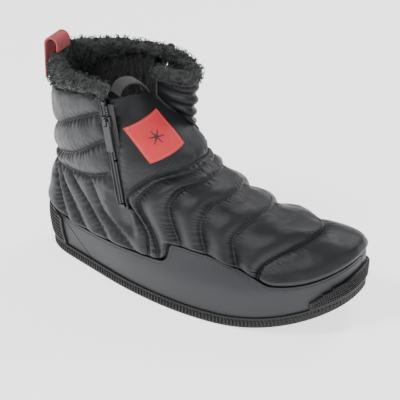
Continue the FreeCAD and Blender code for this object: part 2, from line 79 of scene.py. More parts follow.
# %% Sections
SECTIONS = [
    (0, -142, 32, 145, 56, 50, 2.8, 2.5, .44), (10, -146, 32, 149, 58, 51, 2.8, 2.5, .42),
    (30, -149, 30, 150, 58, 51, 2.7, 2.5, .36), (45, -148, 26, 146, 56, 49, 2.6, 2.4, .30),
    (58, -146, 14, 130, 53, 47, 2.5, 2.3, .24), (70, -144, -4, 110, 50, 46, 2.4, 2.2, .18),
    (82, -142, -24, 86, 48, 45, 2.3, 2.1, .12), (95, -141, -40, 58, 47, 45, 2.2, 2.05, .08),
    (110, -140, -52, 30, 46, 44, 2.1, 2.0, .03), (125, -140, -60, 8, 46, 44, 2.1, 2.0, 0),
    (140, -140, -62, -12, 46, 44, 2.1, 2.0, 0), (155, -141, -63, -33, 46, 44, 2.1, 2.0, 0),
    (168, -142, -63, -50, 47, 45, 2.1, 2.1, 0), (180, -143, -63, -56, 48, 46, 2.1, 2.2, 0),
    (190, -144, -63, -58, 49, 47, 2.1, 2.2, 0)]


def curve(table, x):
    """Smooth monotone curve through (x, y) pairs, for a number or an array."""
    xs, ys = np.array([p[0] for p in table], float), np.array([p[1] for p in table], float)
    h, d = np.diff(xs), np.diff(ys) / np.diff(xs)
    m = np.zeros(len(xs))
    m[0], m[-1] = d[0], d[-1]
    for k in range(1, len(xs) - 1):
        if d[k - 1] * d[k] > 0:
            a, b = 2 * h[k] + h[k - 1], h[k] + 2 * h[k - 1]
            m[k] = (a + b) / (a / d[k - 1] + b / d[k])
    x = np.clip(x, xs[0], xs[-1])
    i = np.clip(np.searchsorted(xs, x, side="right") - 1, 0, len(h) - 1)
    t = (x - xs[i]) / h[i]
    return ((2 * t**3 - 3 * t * t + 1) * ys[i] + (t**3 - 2 * t * t + t) * h[i] * m[i]
            + (3 * t * t - 2 * t**3) * ys[i + 1] + (t**3 - t * t) * h[i] * m[i + 1])


def smooth(t):
    t = np.clip(t, 0, 1)
    return t * t * (3 - 2 * t)


def spring(x):
    return 26 * np.maximum(0, (x - 40) / 110)**2 + 3 * np.maximum(0, (-x - 120) / 30)**2


def unit(v):
    """Each vector at length 1."""
    return v / np.maximum(1e-9, np.linalg.norm(v, axis=-1, keepdims=True))


# %% Sections as formulas of height
ZS = np.arange(0, 196.01, 0.5)
LEVELS = [curve([(r[0], r[k]) for r in SECTIONS], ZS) for k in range(1, 9)]


def section_point(u, z, shaft=False):
    """Points at angle u (degrees, 0 toe, minus lateral) and height z, in millimetres."""
    back, wide, front, lat, med, nb, nf, narrow = [np.interp(z, ZS, c) for c in LEVELS]
    if shaft:
        front = np.maximum(front, -5.0)
    c, s = np.cos(np.radians(u)), np.sin(np.radians(u))
    n = np.where(c >= 0, nf, nb)
    reach = np.where(c >= 0, front - wide, wide - back)
    along = np.sign(c) * np.abs(c)**(2 / n)
    x = wide + reach * along
    width = np.where(s < 0, lat, med) * (1 - np.where(along < 0, narrow * smooth(-along), 0))
    y = np.sign(s) * width * np.abs(s)**(2 / n)
    y = y + 9 * np.maximum(0, (x - 30) / 120)**2 * smooth((130 - z) / 80)
    y = y + 3 * smooth((-x - 40) / 80) * smooth((110 - z) / 60)
    turn = math.radians(9) * smooth((z - 50) / 70)
    dx = x + 72.0
    x, y = -72.0 + dx * np.cos(turn) + y * np.sin(turn), -dx * np.sin(turn) + y * np.cos(turn)
    return np.stack([x, y, z + spring(x)], -1)


COUNT = 120


def run_length(line):
    """Distance along a polyline to each of its points."""
    return np.concatenate([[0], np.cumsum(np.linalg.norm(np.diff(line, axis=0), axis=1))])


def even_table(side, shaft):
    """Angles at equal lengths along each section, one row per 4 mm of height."""
    us = np.linspace(0, 180, 181)
    rows = []
    for z in np.arange(0, 200.1, 4):
        p = section_point(side * us, np.full_like(us, min(z, 196)), shaft)
        run = run_length(p)
        rows.append(np.interp(np.linspace(0, run[-1], COUNT + 1), run, us))
    return np.array(rows)


print("heel, toe", section_point(180, 30.0).round(1), section_point(0, 30.0).round(1))

# %% Place on the surface
TABLES = {(k, sh): even_table(k, sh) for k in (-1, 1) for sh in (False, True)}


def surface(g, z, shaft=False):
    """Outer surface: g is 0 at the toe, -1 round the lateral side and 1 round the medial."""
    g, z = np.broadcast_arrays(np.asarray(g, float), np.clip(np.asarray(z, float), 0, 196))
    g = np.where(g > 1, g - 2, np.where(g < -1, g + 2, g))
    k = np.clip((z / 4).astype(int), 0, 48)
    f = np.minimum(np.abs(g) * COUNT, COUNT - 1e-6)
    i, t, q = f.astype(int), z / 4 - k, f - f.astype(int)
    u = np.zeros_like(z)
    for side in (-1, 1):
        T = TABLES[side, shaft]
        v = ((T[k, i] * (1 - q) + T[k, i + 1] * q) * (1 - t)
             + (T[k + 1, i] * (1 - q) + T[k + 1, i + 1] * q) * t) * side
        u = np.where((g < 0) == (side < 0), v, u)
    return section_point(u, z, shaft)


def normal(g, z, shaft=False):
    a = surface(g + .006, z, shaft) - surface(g - .006, z, shaft)
    b = surface(g, z + .8, shaft) - surface(g, np.maximum(0, z - .8), shaft)
    return unit(np.cross(a, b))


def station(x, z, side, shaft=False):
    """The g at which the section at height z passes x."""
    x, z = np.broadcast_arrays(np.asarray(x, float), np.asarray(z, float))
    lo, hi = np.zeros_like(z), np.ones_like(z)
    for _ in range(24):
        mid = (lo + hi) / 2
        ahead = surface(side * mid, z, shaft)[..., 0] > x
        lo, hi = np.where(ahead, mid, lo), np.where(ahead, hi, mid)
    return side * (lo + hi) / 2


# The solids were moved to the middle of the underside: the heel tab's box tells how far.
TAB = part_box("heel_pull_tab")
SHIFT = np.array([TAB[0].x * 1000 - (section_point(180.0, 186.0, True)[0] - 3.9),
                  (TAB[0].y + TAB[1].y) * 500, 0.0])
print("shift", SHIFT.round(3))


def metres(p):
    return (p + SHIFT) / 1000.0

# %% [markdown]
# ## Materials
# The upper is coated cloth, the rand and sole are rubber, and the lining is pile. Pictures of
# cloth could be wrapped on, but noise and waves need no files. They read Object coordinates,
# so a pattern stays on its piece when a part moves.

# %% Material helpers
def material(name, colour, rough=.5, metal=0.0, sheen=0.0, coat=0.0, spec=.5):
    m = bpy.data.materials.new(name)
    m.use_nodes = True
    tree = m.node_tree
    b = tree.nodes["Principled BSDF"]
    b.inputs["Base Color"].default_value = (*colour, 1)
    b.inputs["Roughness"].default_value = rough
    b.inputs["Metallic"].default_value = metal
    b.inputs["Sheen Weight"].default_value = sheen
    b.inputs["Coat Weight"].default_value = coat
    b.inputs["Specular IOR Level"].default_value = spec
    return m, tree, b


def add(tree, kind, **sockets):
    n = tree.nodes.new(kind)
    for key, value in sockets.items():
        target = n.inputs[key.replace("_", " ")] if key.replace("_", " ") in n.inputs else None
        if target is None:
            setattr(n, key, value)
        else:
            target.default_value = value
    return n


def coords(tree):
    """Object coordinates, so that a pattern stays with its piece."""
    c, m = tree.nodes.new("ShaderNodeTexCoord"), tree.nodes.new("ShaderNodeMapping")
    tree.links.new(c.outputs["Object"], m.inputs["Vector"])
    return m.outputs["Vector"]


def vary(tree, b, colour, amount, scale, rough=None):
    """Colour and roughness that drift over the surface."""
    n = add(tree, "ShaderNodeTexNoise", Scale=scale, Detail=4.0, Roughness=.6)
    tree.links.new(coords(tree), n.inputs["Vector"])
    r = tree.nodes.new("ShaderNodeValToRGB")
    r.color_ramp.elements[0].position, r.color_ramp.elements[1].position = .3, .7
    r.color_ramp.elements[0].color = (*[max(0, c * (1 - amount)) for c in colour], 1)
    r.color_ramp.elements[1].color = (*[min(1, c * (1 + amount)) for c in colour], 1)
    tree.links.new(n.outputs["Fac"], r.inputs["Fac"])
    tree.links.new(r.outputs["Color"], b.inputs["Base Color"])
    if rough:
        m = add(tree, "ShaderNodeMapRange")
        m.inputs["To Min"].default_value, m.inputs["To Max"].default_value = rough
        tree.links.new(n.outputs["Fac"], m.inputs["Value"])
        tree.links.new(m.outputs["Result"], b.inputs["Roughness"])
    return r


# %% Relief helpers
def bump(tree, b, heights, strength, distance):
    """heights: texture outputs that are added up into one bump."""
    total = heights[0]
    for h in heights[1:]:
        s = add(tree, "ShaderNodeMath", operation="ADD")
        tree.links.new(total, s.inputs[0])
        tree.links.new(h, s.inputs[1])
        total = s.outputs[0]
    n = add(tree, "ShaderNodeBump", Strength=strength, Distance=distance)
    tree.links.new(total, n.inputs["Height"])
    tree.links.new(n.outputs["Normal"], b.inputs["Normal"])


def weave(tree, pitch, axes=("X", "Z")):
    """Two crossed sets of threads."""
    out = []
    for axis in axes:
        w = add(tree, "ShaderNodeTexWave", Scale=1 / pitch / 2, Distortion=.6, Detail=1.0)
        w.bands_direction = axis
        tree.links.new(coords(tree), w.inputs["Vector"])
        out.append(w.outputs["Fac"])
    return out


def noise(tree, scale, detail):
    n = add(tree, "ShaderNodeTexNoise", Scale=scale, Detail=detail)
    tree.links.new(coords(tree), n.inputs["Vector"])
    return n.outputs["Fac"]


print("helpers for materials ready")

# %% The finishes
def finish(name, colour, rough, drift=None, grain=(), deep=(), **more):
    """drift: amount, scale and roughness range. grain: noises (scale, detail) or weaves."""
    m, t, b = material(name, colour, rough, **more)
    if drift:
        vary(t, b, colour, *drift)
    heights = []
    for row in grain:
        heights += weave(t, *row[1:]) if row[0] == "weave" else [noise(t, *row)]
    if heights:
        bump(t, b, heights, *deep)
    return m


def shell_cloth(name, colour, rough=(.36, .5)):
    m = finish(name, colour, .4, (.10, 60, rough), [("weave", .00045), (900, 4), (120, 3)],
               (.16, .0006), sheen=.04, spec=.42)
    m.node_tree.nodes["Principled BSDF"].inputs["Sheen Roughness"].default_value = .4
    return m


SHELL = shell_cloth("shell_cloth", (.0085, .0092, .0118))
TONGUE = shell_cloth("tongue_cloth", (.0098, .0106, .0132), (.42, .56))

RAND = finish("rand_rubber", (.0155, .0168, .0205), .5, (.08, 45, (.44, .58)),
              [(2200, 3), (160, 2)], (.12, .0003), spec=.5)
SOLE = finish("sole_rubber", (.010, .010, .011), .62, (.2, 70, (.55, .75)), [(1500, 4)],
              (.25, .0004))
BUMPER = finish("bumper_rubber", (.012, .012, .0135), .55, (.2, 90, (.48, .66)), [(1300, 4)],
                (.25, .0004))
PILE = finish("pile", (.009, .010, .0105), .9, (.5, 140), [(420, 5), (1100, 4)], (.9, .002),
              sheen=.12)
PATCH = finish("red_patch", (.70, .045, .055), .6, (.05, 80, (.52, .66)),
               [("weave", .0006), (900, 3)], (.2, .0003), spec=.35)
INK = finish("patch_mark", (.05, .03, .035), .6, None, [(900, 2)], (.1, .0002))
RED_WEB = finish("red_webbing", (.52, .010, .018), .75, (.12, 160),
                 [("weave", .0011, ("Y", "DIAGONAL")), (1400, 2)], (.7, .0008), sheen=.4)
WEB = finish("grey_webbing", (.022, .022, .025), .72, (.15, 160),
             [("weave", .0009, ("X", "DIAGONAL")), (1400, 2)], (.6, .0006), sheen=.3)
# The zip tape is dark cloth. Its colour is darkened further as painted shade for the groove between the
# tongue and the zip.
TAPE = finish("zip_tape_cloth", (.009, .009, .010), .8, (.25, 200),
              [("weave", .0007, ("Z", "X"))], (.6, .0005), sheen=.3)
TEETH = finish("zip_teeth_plastic", (.035, .036, .04), .25, (.15, 200, (.25, .4)), spec=.8)
METAL = finish("zip_slider_finish", (.065, .065, .072), .34, (.15, 300, (.28, .45)),
               [(900, 3)], (.15, .0002), metal=.75)
PULL_DARK, PULL_RED = [finish(name, colour, .5, (.15, 200, (.42, .6)), [(1500, 3)], (.3, .0003))
                       for name, colour in (("puller_dark", (.045, .046, .05)),
                                            ("puller_red", (.30, .035, .085)))]
THREAD, PALE_THREAD = [finish(name, colour, rough, None, [(3000, 2)], (.4, .0002), sheen=.3)
                       for name, colour, rough in (("thread", (.014, .014, .016), .55),
                                                   ("pale_thread", (.70, .16, .16), .6))]
BOARD = finish("board", (.45, .42, .37), .8, (.1, 60), [(700, 4)], (.3, .0003))
LABEL = finish("label_cloth", (.36, .03, .055), .8, (.1, 200), [("weave", .0005, ("Y", "Z"))],
               (.4, .0003), sheen=.3)

# The curls get painted glints: the ramp's upper colour is a lighter grey-green that the noise spreads in
# patches over the fur.
FUR, t, b = material("fur_curl", (.010, .0115, .0115), .7, sheen=.15)
ramp = vary(t, b, (.010, .0115, .0112), .8, 210)
ramp.color_ramp.elements[1].color = (.034, .042, .038, 1)
bump(t, b, [noise(t, 2600, 3)], .6, .0006)
print("materials", len(bpy.data.materials))

# %% Give the solids their finishes
FINISH = {"outsole": SOLE, "midsole": SOLE, "lasting_board": BOARD, "footbed": PILE,
          "heel_bumper": BUMPER, "toe_bumper": BUMPER, "rand_lateral": RAND, "rand_medial": RAND,
          "rand_heel": RAND, "heel_counter": BOARD, "toe_puff": BOARD, "tongue_patch": PATCH,
          "tongue_pull_loop": WEB, "heel_pull_tab": RED_WEB, "size_label": LABEL,
          "zip_puller_lateral": PULL_DARK, "zip_puller_medial": PULL_RED}
for name, node in NODES.items():
    coat = FINISH.get(name)
    if coat is None:
        coat = (TAPE if "tape" in name else TEETH if "teeth" in name else
                METAL if "slider" in name or "stop" in name else
                PILE if "pile" in name or "cuff" in name else SHELL)
    node.data.materials.clear()
    node.data.materials.append(coat)
print("solids with a finish", len(NODES))

# %% [markdown]
# ## Fabric panels
# The upper is wadding held between stitched channels. Cloth simulation with pressure could
# puff it up, but it is slow and hard to keep beside the solids. Here each panel is a fine grid
# on the outer surface. The wadding stands up between the lines, and the stitching gathers
# small puckers beside them, the same on every run.

# %% Grid meshes
def mesh_object(name, verts, faces, mat, smooth_shade=True):
    me = bpy.data.meshes.new(name)
    me.from_pydata([tuple(v) for v in verts], [], [tuple(int(i) for i in f) for f in faces])
    me.validate()
    me.materials.append(mat)
    if smooth_shade:
        me.polygons.foreach_set("use_smooth", [True] * len(me.polygons))
    ob = bpy.data.objects.new(name, me)
    bpy.context.scene.collection.objects.link(ob)
    return ob


def grid_faces(n, m):
    i, j = np.meshgrid(np.arange(n - 1), np.arange(m - 1), indexing="ij")
    a = (i * m + j).ravel()
    return np.stack([a, a + m, a + m + 1, a + 1], 1)


def grid(n, m, low=(0, 0), high=(1, 1)):
    """Two arrays that run over a rectangle."""
    return np.meshgrid(np.linspace(low[0], high[0], n), np.linspace(low[1], high[1], m),
                       indexing="ij")


def edges_of(faces):
    return {(int(f[k]), int(f[(k + 1) % 4])) for f in faces for k in range(4)}


def outward(verts, faces, out):
    """Turn the faces so that they look along out, one direction per vertex."""
    f = faces
    n = np.cross(verts[f[:, 2]] - verts[f[:, 0]], verts[f[:, 3]] - verts[f[:, 1]])
    return f if (n * out[f[:, 0]]).sum() > 0 else f[:, ::-1]


def thick_grid(name, outer, inner, mat):
    """Closed solid from two (n, m, 3) grids in millimetres."""
    n, m = outer.shape[:2]
    a, b = outer.reshape(-1, 3), inner.reshape(-1, 3)
    verts = metres(np.concatenate([a, b]))
    fa = outward(verts[:len(a)], grid_faces(n, m), a - b)
    fb = fa[:, ::-1] + n * m
    idx = np.arange(n * m).reshape(n, m)
    rim = np.concatenate([idx[:, 0], idx[-1, 1:], idx[::-1, -1][1:], idx[0, ::-1][1:]])
    rim = rim[:-1] if rim[0] == rim[-1] else rim
    nxt = np.roll(rim, -1)
    sides = np.stack([rim, nxt, nxt + n * m, rim + n * m], 1)
    if (int(rim[0]), int(rim[1])) in edges_of(fa):
        sides = sides[:, ::-1]
    return mesh_object(name, verts, np.concatenate([fa, fb, sides]), mat)


def ring_mesh(name, rings, mat):
    """Closed tube through (n, m, 3) rings in millimetres, with flat ends."""
    n, m = rings.shape[:2]
    idx = np.arange(n * m).reshape(n, m)
    nxt = np.roll(idx, -1, 1)
    faces = np.stack([idx[:-1], nxt[:-1], nxt[1:], idx[1:]], -1).reshape(-1, 4)
    verts = metres(rings.reshape(-1, 3))
    faces = outward(verts, faces, (rings - rings.mean(1, keepdims=True)).reshape(-1, 3))
    pairs = edges_of(faces)
    ends = [r[::-1] if (int(r[0]), int(r[1])) in pairs else r for r in (idx[0], idx[-1])]
    return mesh_object(name, verts, list(faces) + ends, mat)


print("a 3 by 4 grid has", len(grid_faces(3, 4)), "faces")

# %% Quilting lines over the foot
# g and z along each arched line: t is 1 at the sole and 0 on the crest.
ARCHES = {
    "seam": [(0, 0, 125.4), (.18, .194, 120.5), (.35, .386, 106), (.5, .486, 94), (.62, .535, 70),
             (.8, .582, 45), (1, .60, 14)],
    "c1": [(0, 0, 121.4), (.18, .192, 116.8), (.35, .372, 102.6), (.5, .462, 90), (.62, .512, 70),
           (.8, .552, 44), (1, .565, 14)],
    "c2": [(0, 0, 114.6), (.18, .142, 111.5), (.35, .275, 100), (.5, .384, 81), (.62, .432, 67),
           (.8, .475, 48), (1, .50, 14)],
    "c3": [(0, 0, 103.2), (.18, .10, 101), (.35, .205, 92), (.5, .298, 79), (.62, .362, 64),
           (.8, .40, 46), (1, .425, 14)],
    "c4": [(0, 0, 89.6), (.18, .07, 88), (.35, .150, 83), (.5, .224, 75), (.62, .298, 58),
           (.8, .325, 43), (1, .35, 14)],
    "toe": [(0, 0, 67.2), (.18, .06, 66.6), (.35, .130, 64), (.5, .205, 59), (.62, .268, 50),
            (.8, .285, 39), (1, .286, 14)]}


def arch_at(name, t):
    rows = ARCHES[name]
    k = np.abs(t)
    g = curve([(r[0], r[1]) for r in rows], k) * np.sign(t)
    return g, curve([(r[0], r[2]) for r in rows], k)


print("crest heights", [rows[0][2] for rows in ARCHES.values()])

# %% The edge of the rand
RAND_TOP = {
    -1: [(-150, 44), (-109, 38), (-38, 41), (-8, 43), (18, 61), (50, 60), (72, 53), (93, 38),
         (130, 34), (150, 35)],
    1: [(-150, 44), (-109, 39), (0, 40), (60, 42), (100, 37), (150, 35)]}


GRID_G = np.linspace(-1, 1, 801)
GRID_TOP = np.where(GRID_G > 0, curve(RAND_TOP[1], surface(GRID_G, 40.0)[:, 0]),
                    curve(RAND_TOP[-1], surface(GRID_G, 40.0)[:, 0]))


def rand_top(g):
    """Height of the rand's edge at g."""
    return np.interp(np.where(g > 1, g - 2, np.where(g < -1, g + 2, g)), GRID_G, GRID_TOP)


def tuck(z, g):
    """How far a panel sits behind the rand."""
    line = np.max([rand_top(g + d) for d in (-.008, 0, .008)], 0)
    return 3.1 * (1 - smooth((z - line + .2) / 2.2))


print("rand height at the toe and heel", rand_top(0.0).round(1), rand_top(1.0).round(1))

# %% Heights of the cloth
def ripple(p, size, seed):
    """Smooth noise from a few crossed waves, about -1 to 1."""
    rng = np.random.default_rng(seed)
    out = np.zeros(p.shape[:-1])
    for k in range(9):
        d = rng.normal(size=3)
        d /= np.linalg.norm(d)
        f = 2 * math.pi / (size * rng.uniform(.6, 1.6))
        out += np.sin(p @ d * f + rng.uniform(0, 6.3)
                      + 1.5 * np.sin(p @ rng.normal(size=3) * f * .3 + k))
    return out / 4.5


def seam_field(points, lines):
    """Distance from each point to the nearest line, and how far along that line it is."""
    pts = np.concatenate(lines)
    run = np.concatenate([run_length(l) + 37 * k for k, l in enumerate(lines)])
    tree = kdtree.KDTree(len(pts))
    for i, p in enumerate(pts):
        tree.insert(Vector(p), i)
    tree.balance()
    found = [tree.find(Vector(p)) for p in points.reshape(-1, 3)]
    d = np.array([f[2] for f in found]).reshape(points.shape[:-1])
    return d, run[[f[1] for f in found]].reshape(points.shape[:-1])


def puckers(d, run, width=4.0, depth=.35, pitch=5.0):
    wave = np.sin(run * 2 * math.pi / pitch + 2.2 * np.sin(run * .21) + 1.3 * np.sin(run * .083))
    return depth * wave * np.exp(-(d / width)**2) * (1 - np.exp(-(d / .9)**2))


# %% The lines the panels meet along
MED = {-1: 0.0, 1: 7.0}
ZIP_X, ZIP_LEAN, ZIP_FOOT = -47.5, .165, 84
FLAP_FOOT = 127.5


def seam_x(z, side):
    z = np.asarray(z, float)
    low = curve([(14, -16), (43, -24), (70, -38), (84, -47.5)], z)
    return MED[side] + np.where(z > ZIP_FOOT, ZIP_X - ZIP_LEAN * (z - ZIP_FOOT), low)


ZIP_EDGE = 4.3


def beside_zip(z, side, off, shaft=False):
    """The g that lies off millimetres in front of the middle of a zip."""
    return station(seam_x(z, side) + off, z, side, shaft)


def quarter_top(g):
    rows = [(-150, 159), (-140, 161), (-118, 171), (-93, 180), (-75, 184), (-50, 185)]
    return curve(rows, surface(g, 175, True)[..., 0])


def place(g, z, h, shaft=False):
    """Points standing h millimetres off the outer surface."""
    return surface(g, z, shaft) + normal(g, z, shaft) * np.asarray(h)[..., None]


def coons(left, right, low, high, n, m):
    """(g, z) grid between four border curves; each is a function of 0 to 1."""
    u, v = grid(n, m)
    L, R, B, T = left(v), right(v), low(u), high(u)
    out = []
    for k in (0, 1):
        c = [f(np.array([q]))[k][0] for f, q in ((low, 0.), (low, 1.), (high, 0.), (high, 1.))]
        out.append((1 - u) * L[k] + u * R[k] + (1 - v) * B[k] + v * T[k]
                   - (1 - u) * (1 - v) * c[0] - u * (1 - v) * c[1] - (1 - u) * v * c[2]
                   - u * v * c[3])
    return out


def shell(name, g, z, h, mat, back=3.2, shaft=False):
    """Closed piece of cloth with its outside h off the surface and its inside back below it."""
    return thick_grid(name, place(g, z, h, shaft),
                      place(g, z, np.minimum(h - 1.2, -back), shaft), mat)


print("zip leans to x", seam_x(176, -1).round(1), "at its top")

# %% [markdown]
# ## Vamp
# Five arched rolls of wadding cross the foot. A subdivided strip for each roll would work,
# but its ends would not meet the next one. One grid follows all the arches, and each roll
# stands highest just behind its front channel and drops steeply into it.

# %% Vamp
rows_g, rows_z, rows_h, T = [], [], [], np.linspace(-1, 1, 321)
ORDER = ["seam", "c1", "c2", "c3", "c4", "toe"]
for n, (a, b) in enumerate(zip(ORDER, ORDER[1:])):
    (ga, za), (gb, zb) = arch_at(a, T), arch_at(b, T)
    wide = np.linalg.norm(surface(ga, za) - surface(gb, zb), axis=-1)
    steps = np.linspace(0, 1, 19)[(0 if n == 0 else 1):]
    for s in steps:
        g, z = ga + (gb - ga) * s, za + (zb - za) * s
        tall = np.clip(.27 * wide, .8, 6.0) * (.30 + .70 * smooth(np.abs(T - .1) / .42))
        roll = np.sin(np.pi * min(s, .9999)**1.55)**.72
        near = min(s, 1 - s) * wide
        run = T * 150 + 11 * (n + (s > .5))
        rows_g.append(g)
        rows_z.append(z)
        deep = .5 + 1.0 * smooth(np.abs(T - .1) / .4)
        rows_h.append(-deep + (tall + deep) * roll + puckers(near, run, 4.5, .42, 4.6))
VG, VZ, VH = np.array(rows_g), np.array(rows_z), np.array(rows_h)
VP = surface(VG, VZ)


def above_rand(z, g, reach=6.0):
    return smooth((z - rand_top(g) + .5) / reach)


VH = (VH + .35 * ripple(VP, 22, 3) + .12 * ripple(VP, 8, 4)) * above_rand(VZ, VG) \
    - tuck(VZ, VG)
vamp = shell("vamp", VG, VZ, VH, SHELL)
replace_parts(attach(vamp, "boot"), "vamp_panel")
print("vamp stands up to", round(float(VH.max()), 2), "mm off the surface")

# %% Toe panel
c, v = grid(111, 46, (-1, 0), (1, 1))
TG = .287 * c
top = curve([(0, 67.2), (.06, 66.6), (.13, 64), (.205, 59), (.268, 50), (.287, 39)], np.abs(TG))
TZ = 14 + (top - 14) * v
TP = surface(TG, TZ)
D = (top - TZ) * .95
TH = 4.4 * (1 - np.exp(-D / 10)) - 1.2 * np.exp(-(D / 1.7)**2) \
    + puckers(D, TG * 480, 4.5, .4, 4.6) + .35 * ripple(TP, 26, 5) + .12 * ripple(TP, 8, 6)
TH = TH * above_rand(TZ, TG) - tuck(TZ, TG)
toe = shell("toe_cap_cloth", TG, TZ, TH, SHELL)
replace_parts(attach(toe, "boot"), "toe_panel")
print("toe cap stands up to", round(float(TH.max()), 2), "mm")

# %% [markdown]
# ## Quarters
# The side panels carry quilting lines that cross. Rolls can't be laid row by row there, so
# height comes from the distance to the nearest line, found with a k-d tree.

# %% Quarters
QUILT = [[(-141, 122), (-104, 147), (-66, 168)], [(-141, 97), (-114, 110), (-65, 141)],
         [(-141, 88), (-110, 95), (-84, 101), (-56, 113)], [(-137, 91), (-127, 62), (-117, 36)],
         [(-130, 93), (-110, 62), (-89, 34)], [(-112, 97), (-86, 66), (-61, 34)],
         [(-84, 101), (-71, 70), (-28, 36)]]


def quilt_line(rows, side):
    t = np.linspace(0, 1, 90)
    xs = np.interp(t, np.linspace(0, 1, len(rows)), [r[0] for r in rows]) + MED[side] * .6
    k = np.linspace(0, 1, len(rows))
    z = curve(list(zip(k, [r[1] for r in rows])), t)
    return station(xs, z, side, True), z


def seam_by_height():
    g, z = arch_at("seam", np.linspace(1, .45, 120))
    return z, g


def quarter(side, name):
    s, v = grid(128, 138)
    gt = side * s + beside_zip(175, side, -ZIP_EDGE, True) * (1 - s)
    top = quarter_top(gt)
    z = 15 + (top - 15) * v
    edge = beside_zip(z, side, -ZIP_EDGE, True)
    low = side * (np.interp(z, *seam_by_height()) + .0015)
    edge = low + (edge - low) * smooth((z - 80) / 8)
    g = edge * (1 - s) + side * .9995 * s
    p = surface(g, z, True)
    d, run = seam_field(p, [surface(*quilt_line(rows, side), True) for rows in QUILT])
    front = np.linalg.norm(p - p[:1], axis=-1)
    rim = np.minimum(front, (top - z) * .9 + .2)
    h = 4.6 * (1 - np.exp(-(d / 5.5)**1.3)) - 1.3 * np.exp(-(d / 1.5)**2)
    h = h * (1 - np.exp(-(rim / 3.2)**1.4)) + puckers(d, run, 5.5, .5, 5.2)
    h = h - .9 * np.exp(-(rim / 1.4)**2) + puckers(rim, z + s * 60, 4.5, .4, 4.8)
    h = h + (.55 * ripple(p, 24, 11 + side) + .18 * ripple(p, 9, 21 + side)) \
        * (1 - np.exp(-(rim / 4)**2)) * (1 - np.exp(-(d / 3)**2))
    # Room for the puller where it hangs below the end of the zip.
    off = np.abs(p[..., 0] - (MED[side] + ZIP_X - ZIP_LEAN * (z - ZIP_FOOT)))
    near = smooth((15 - off) / 10) * smooth((z - 54) / 14) * smooth((100 - z) / 10)
    h = h - np.maximum(0, h + .9) * near
    h = h * above_rand(z, g) - tuck(z, g)
    ob = shell(name, g, z, h, SHELL, 3.4, True)
    return ob


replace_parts(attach(quarter(-1, "quarter_cloth_lateral"), "boot"), "quarter_lateral")
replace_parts(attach(quarter(1, "quarter_cloth_medial"), "boot"), "quarter_medial")
print("quarters done")

# %% [markdown]
# ## Tongue and gusset
# The tongue runs over the crest to the lateral zip, and a gathered gusset joins it to the
# medial zip. A part on one body only would tear at the fold, so cloth that crosses the fold
# line bends between the boot and the flap. A patch of four border curves gives the grid.

# %% Tongue
TONGUE_MED = [(120, .215), (128, .20), (145, .13), (164, .06), (180, .05)]
G150 = float(beside_zip(150., -1, ZIP_EDGE))
FOLD_X = JOINTS["flap_fold"]["pos_m"][0]
FOLD = ((FOLD_X, 0, .112), (FOLD_X, 0, .137))


def tongue_lat(z):
    g = station(seam_x(z, -1) + ZIP_EDGE, np.minimum(z, 150.0), -1)
    return np.where(z > 150, np.maximum(g, curve([(150, G150), (164, -.262), (180, -.25)], z)),
                    g)


def tongue_top(u):
    z = curve([(0, 177), (.5, 173), (1, 167)], u)
    return tongue_lat(np.array([177.0]))[0] * (1 - u) + curve(TONGUE_MED, 167.0) * u, z


def low_arch(t0, t1, u):
    return arch_at("seam", t0 + (t1 - t0) * np.asarray(u, float))


def tongue_left(v):
    z = LZ + (177 - LZ) * v
    return tongue_lat(z), z


def tongue_right(v):
    z = RZ + (167 - RZ) * v
    return curve(TONGUE_MED, z), z


TL, TR = -.565, .203
LZ, RZ = [float(arch_at("seam", np.array([t]))[1][0]) for t in (TL, TR)]


def tongue_low(u):
    g, z = low_arch(TL, TR, u)
    end = tongue_lat(np.array([LZ]))[0] - arch_at("seam", np.array([TL]))[0][0]
    return g + end * np.maximum(0, 1 - u * 8)**2, z


def seam_z(g):
    t = np.linspace(0, 1, 400)
    ag, az = arch_at("seam", t)
    return np.interp(np.abs(g), ag, az)


print("tongue foot at heights", round(LZ, 1), round(RZ, 1))

# %% Tongue mesh
def tongue_height(g, z):
    p = surface(g, z)
    dl = np.linalg.norm(p - surface(tongue_lat(z), z), axis=-1)
    dm = np.linalg.norm(p - surface(curve(TONGUE_MED, z), z), axis=-1)
    db = np.maximum(0, z - seam_z(g)) * .9
    h = 4.4 * (1 - np.exp(-dl / 5)) * (1 - np.exp(-dm / 4)) * (1 - np.exp(-(db / 5)**1.1))
    soft = smooth((db - 14) / 12)
    return h - 1.5 * np.exp(-(db / 1.7)**2) + puckers(db, g * 430, 4.5, .45, 4.6) \
        + puckers(dl, z, 4.5, .35, 5.0) + (.5 - .3 * soft) * ripple(p, 26, 31) \
        + .1 * ripple(p, 9, 32)


g, z = coons(tongue_left, tongue_right, tongue_low, tongue_top, 110, 110)
h = tongue_height(g, z)
tongue = shell("tongue_cloth", g, z, h, TONGUE)
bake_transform(tongue, "boot", "front_flap", *FOLD)
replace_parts(tongue, "tongue_panel", "instep_panel")
print("tongue bends at x", round(FOLD_X, 4))


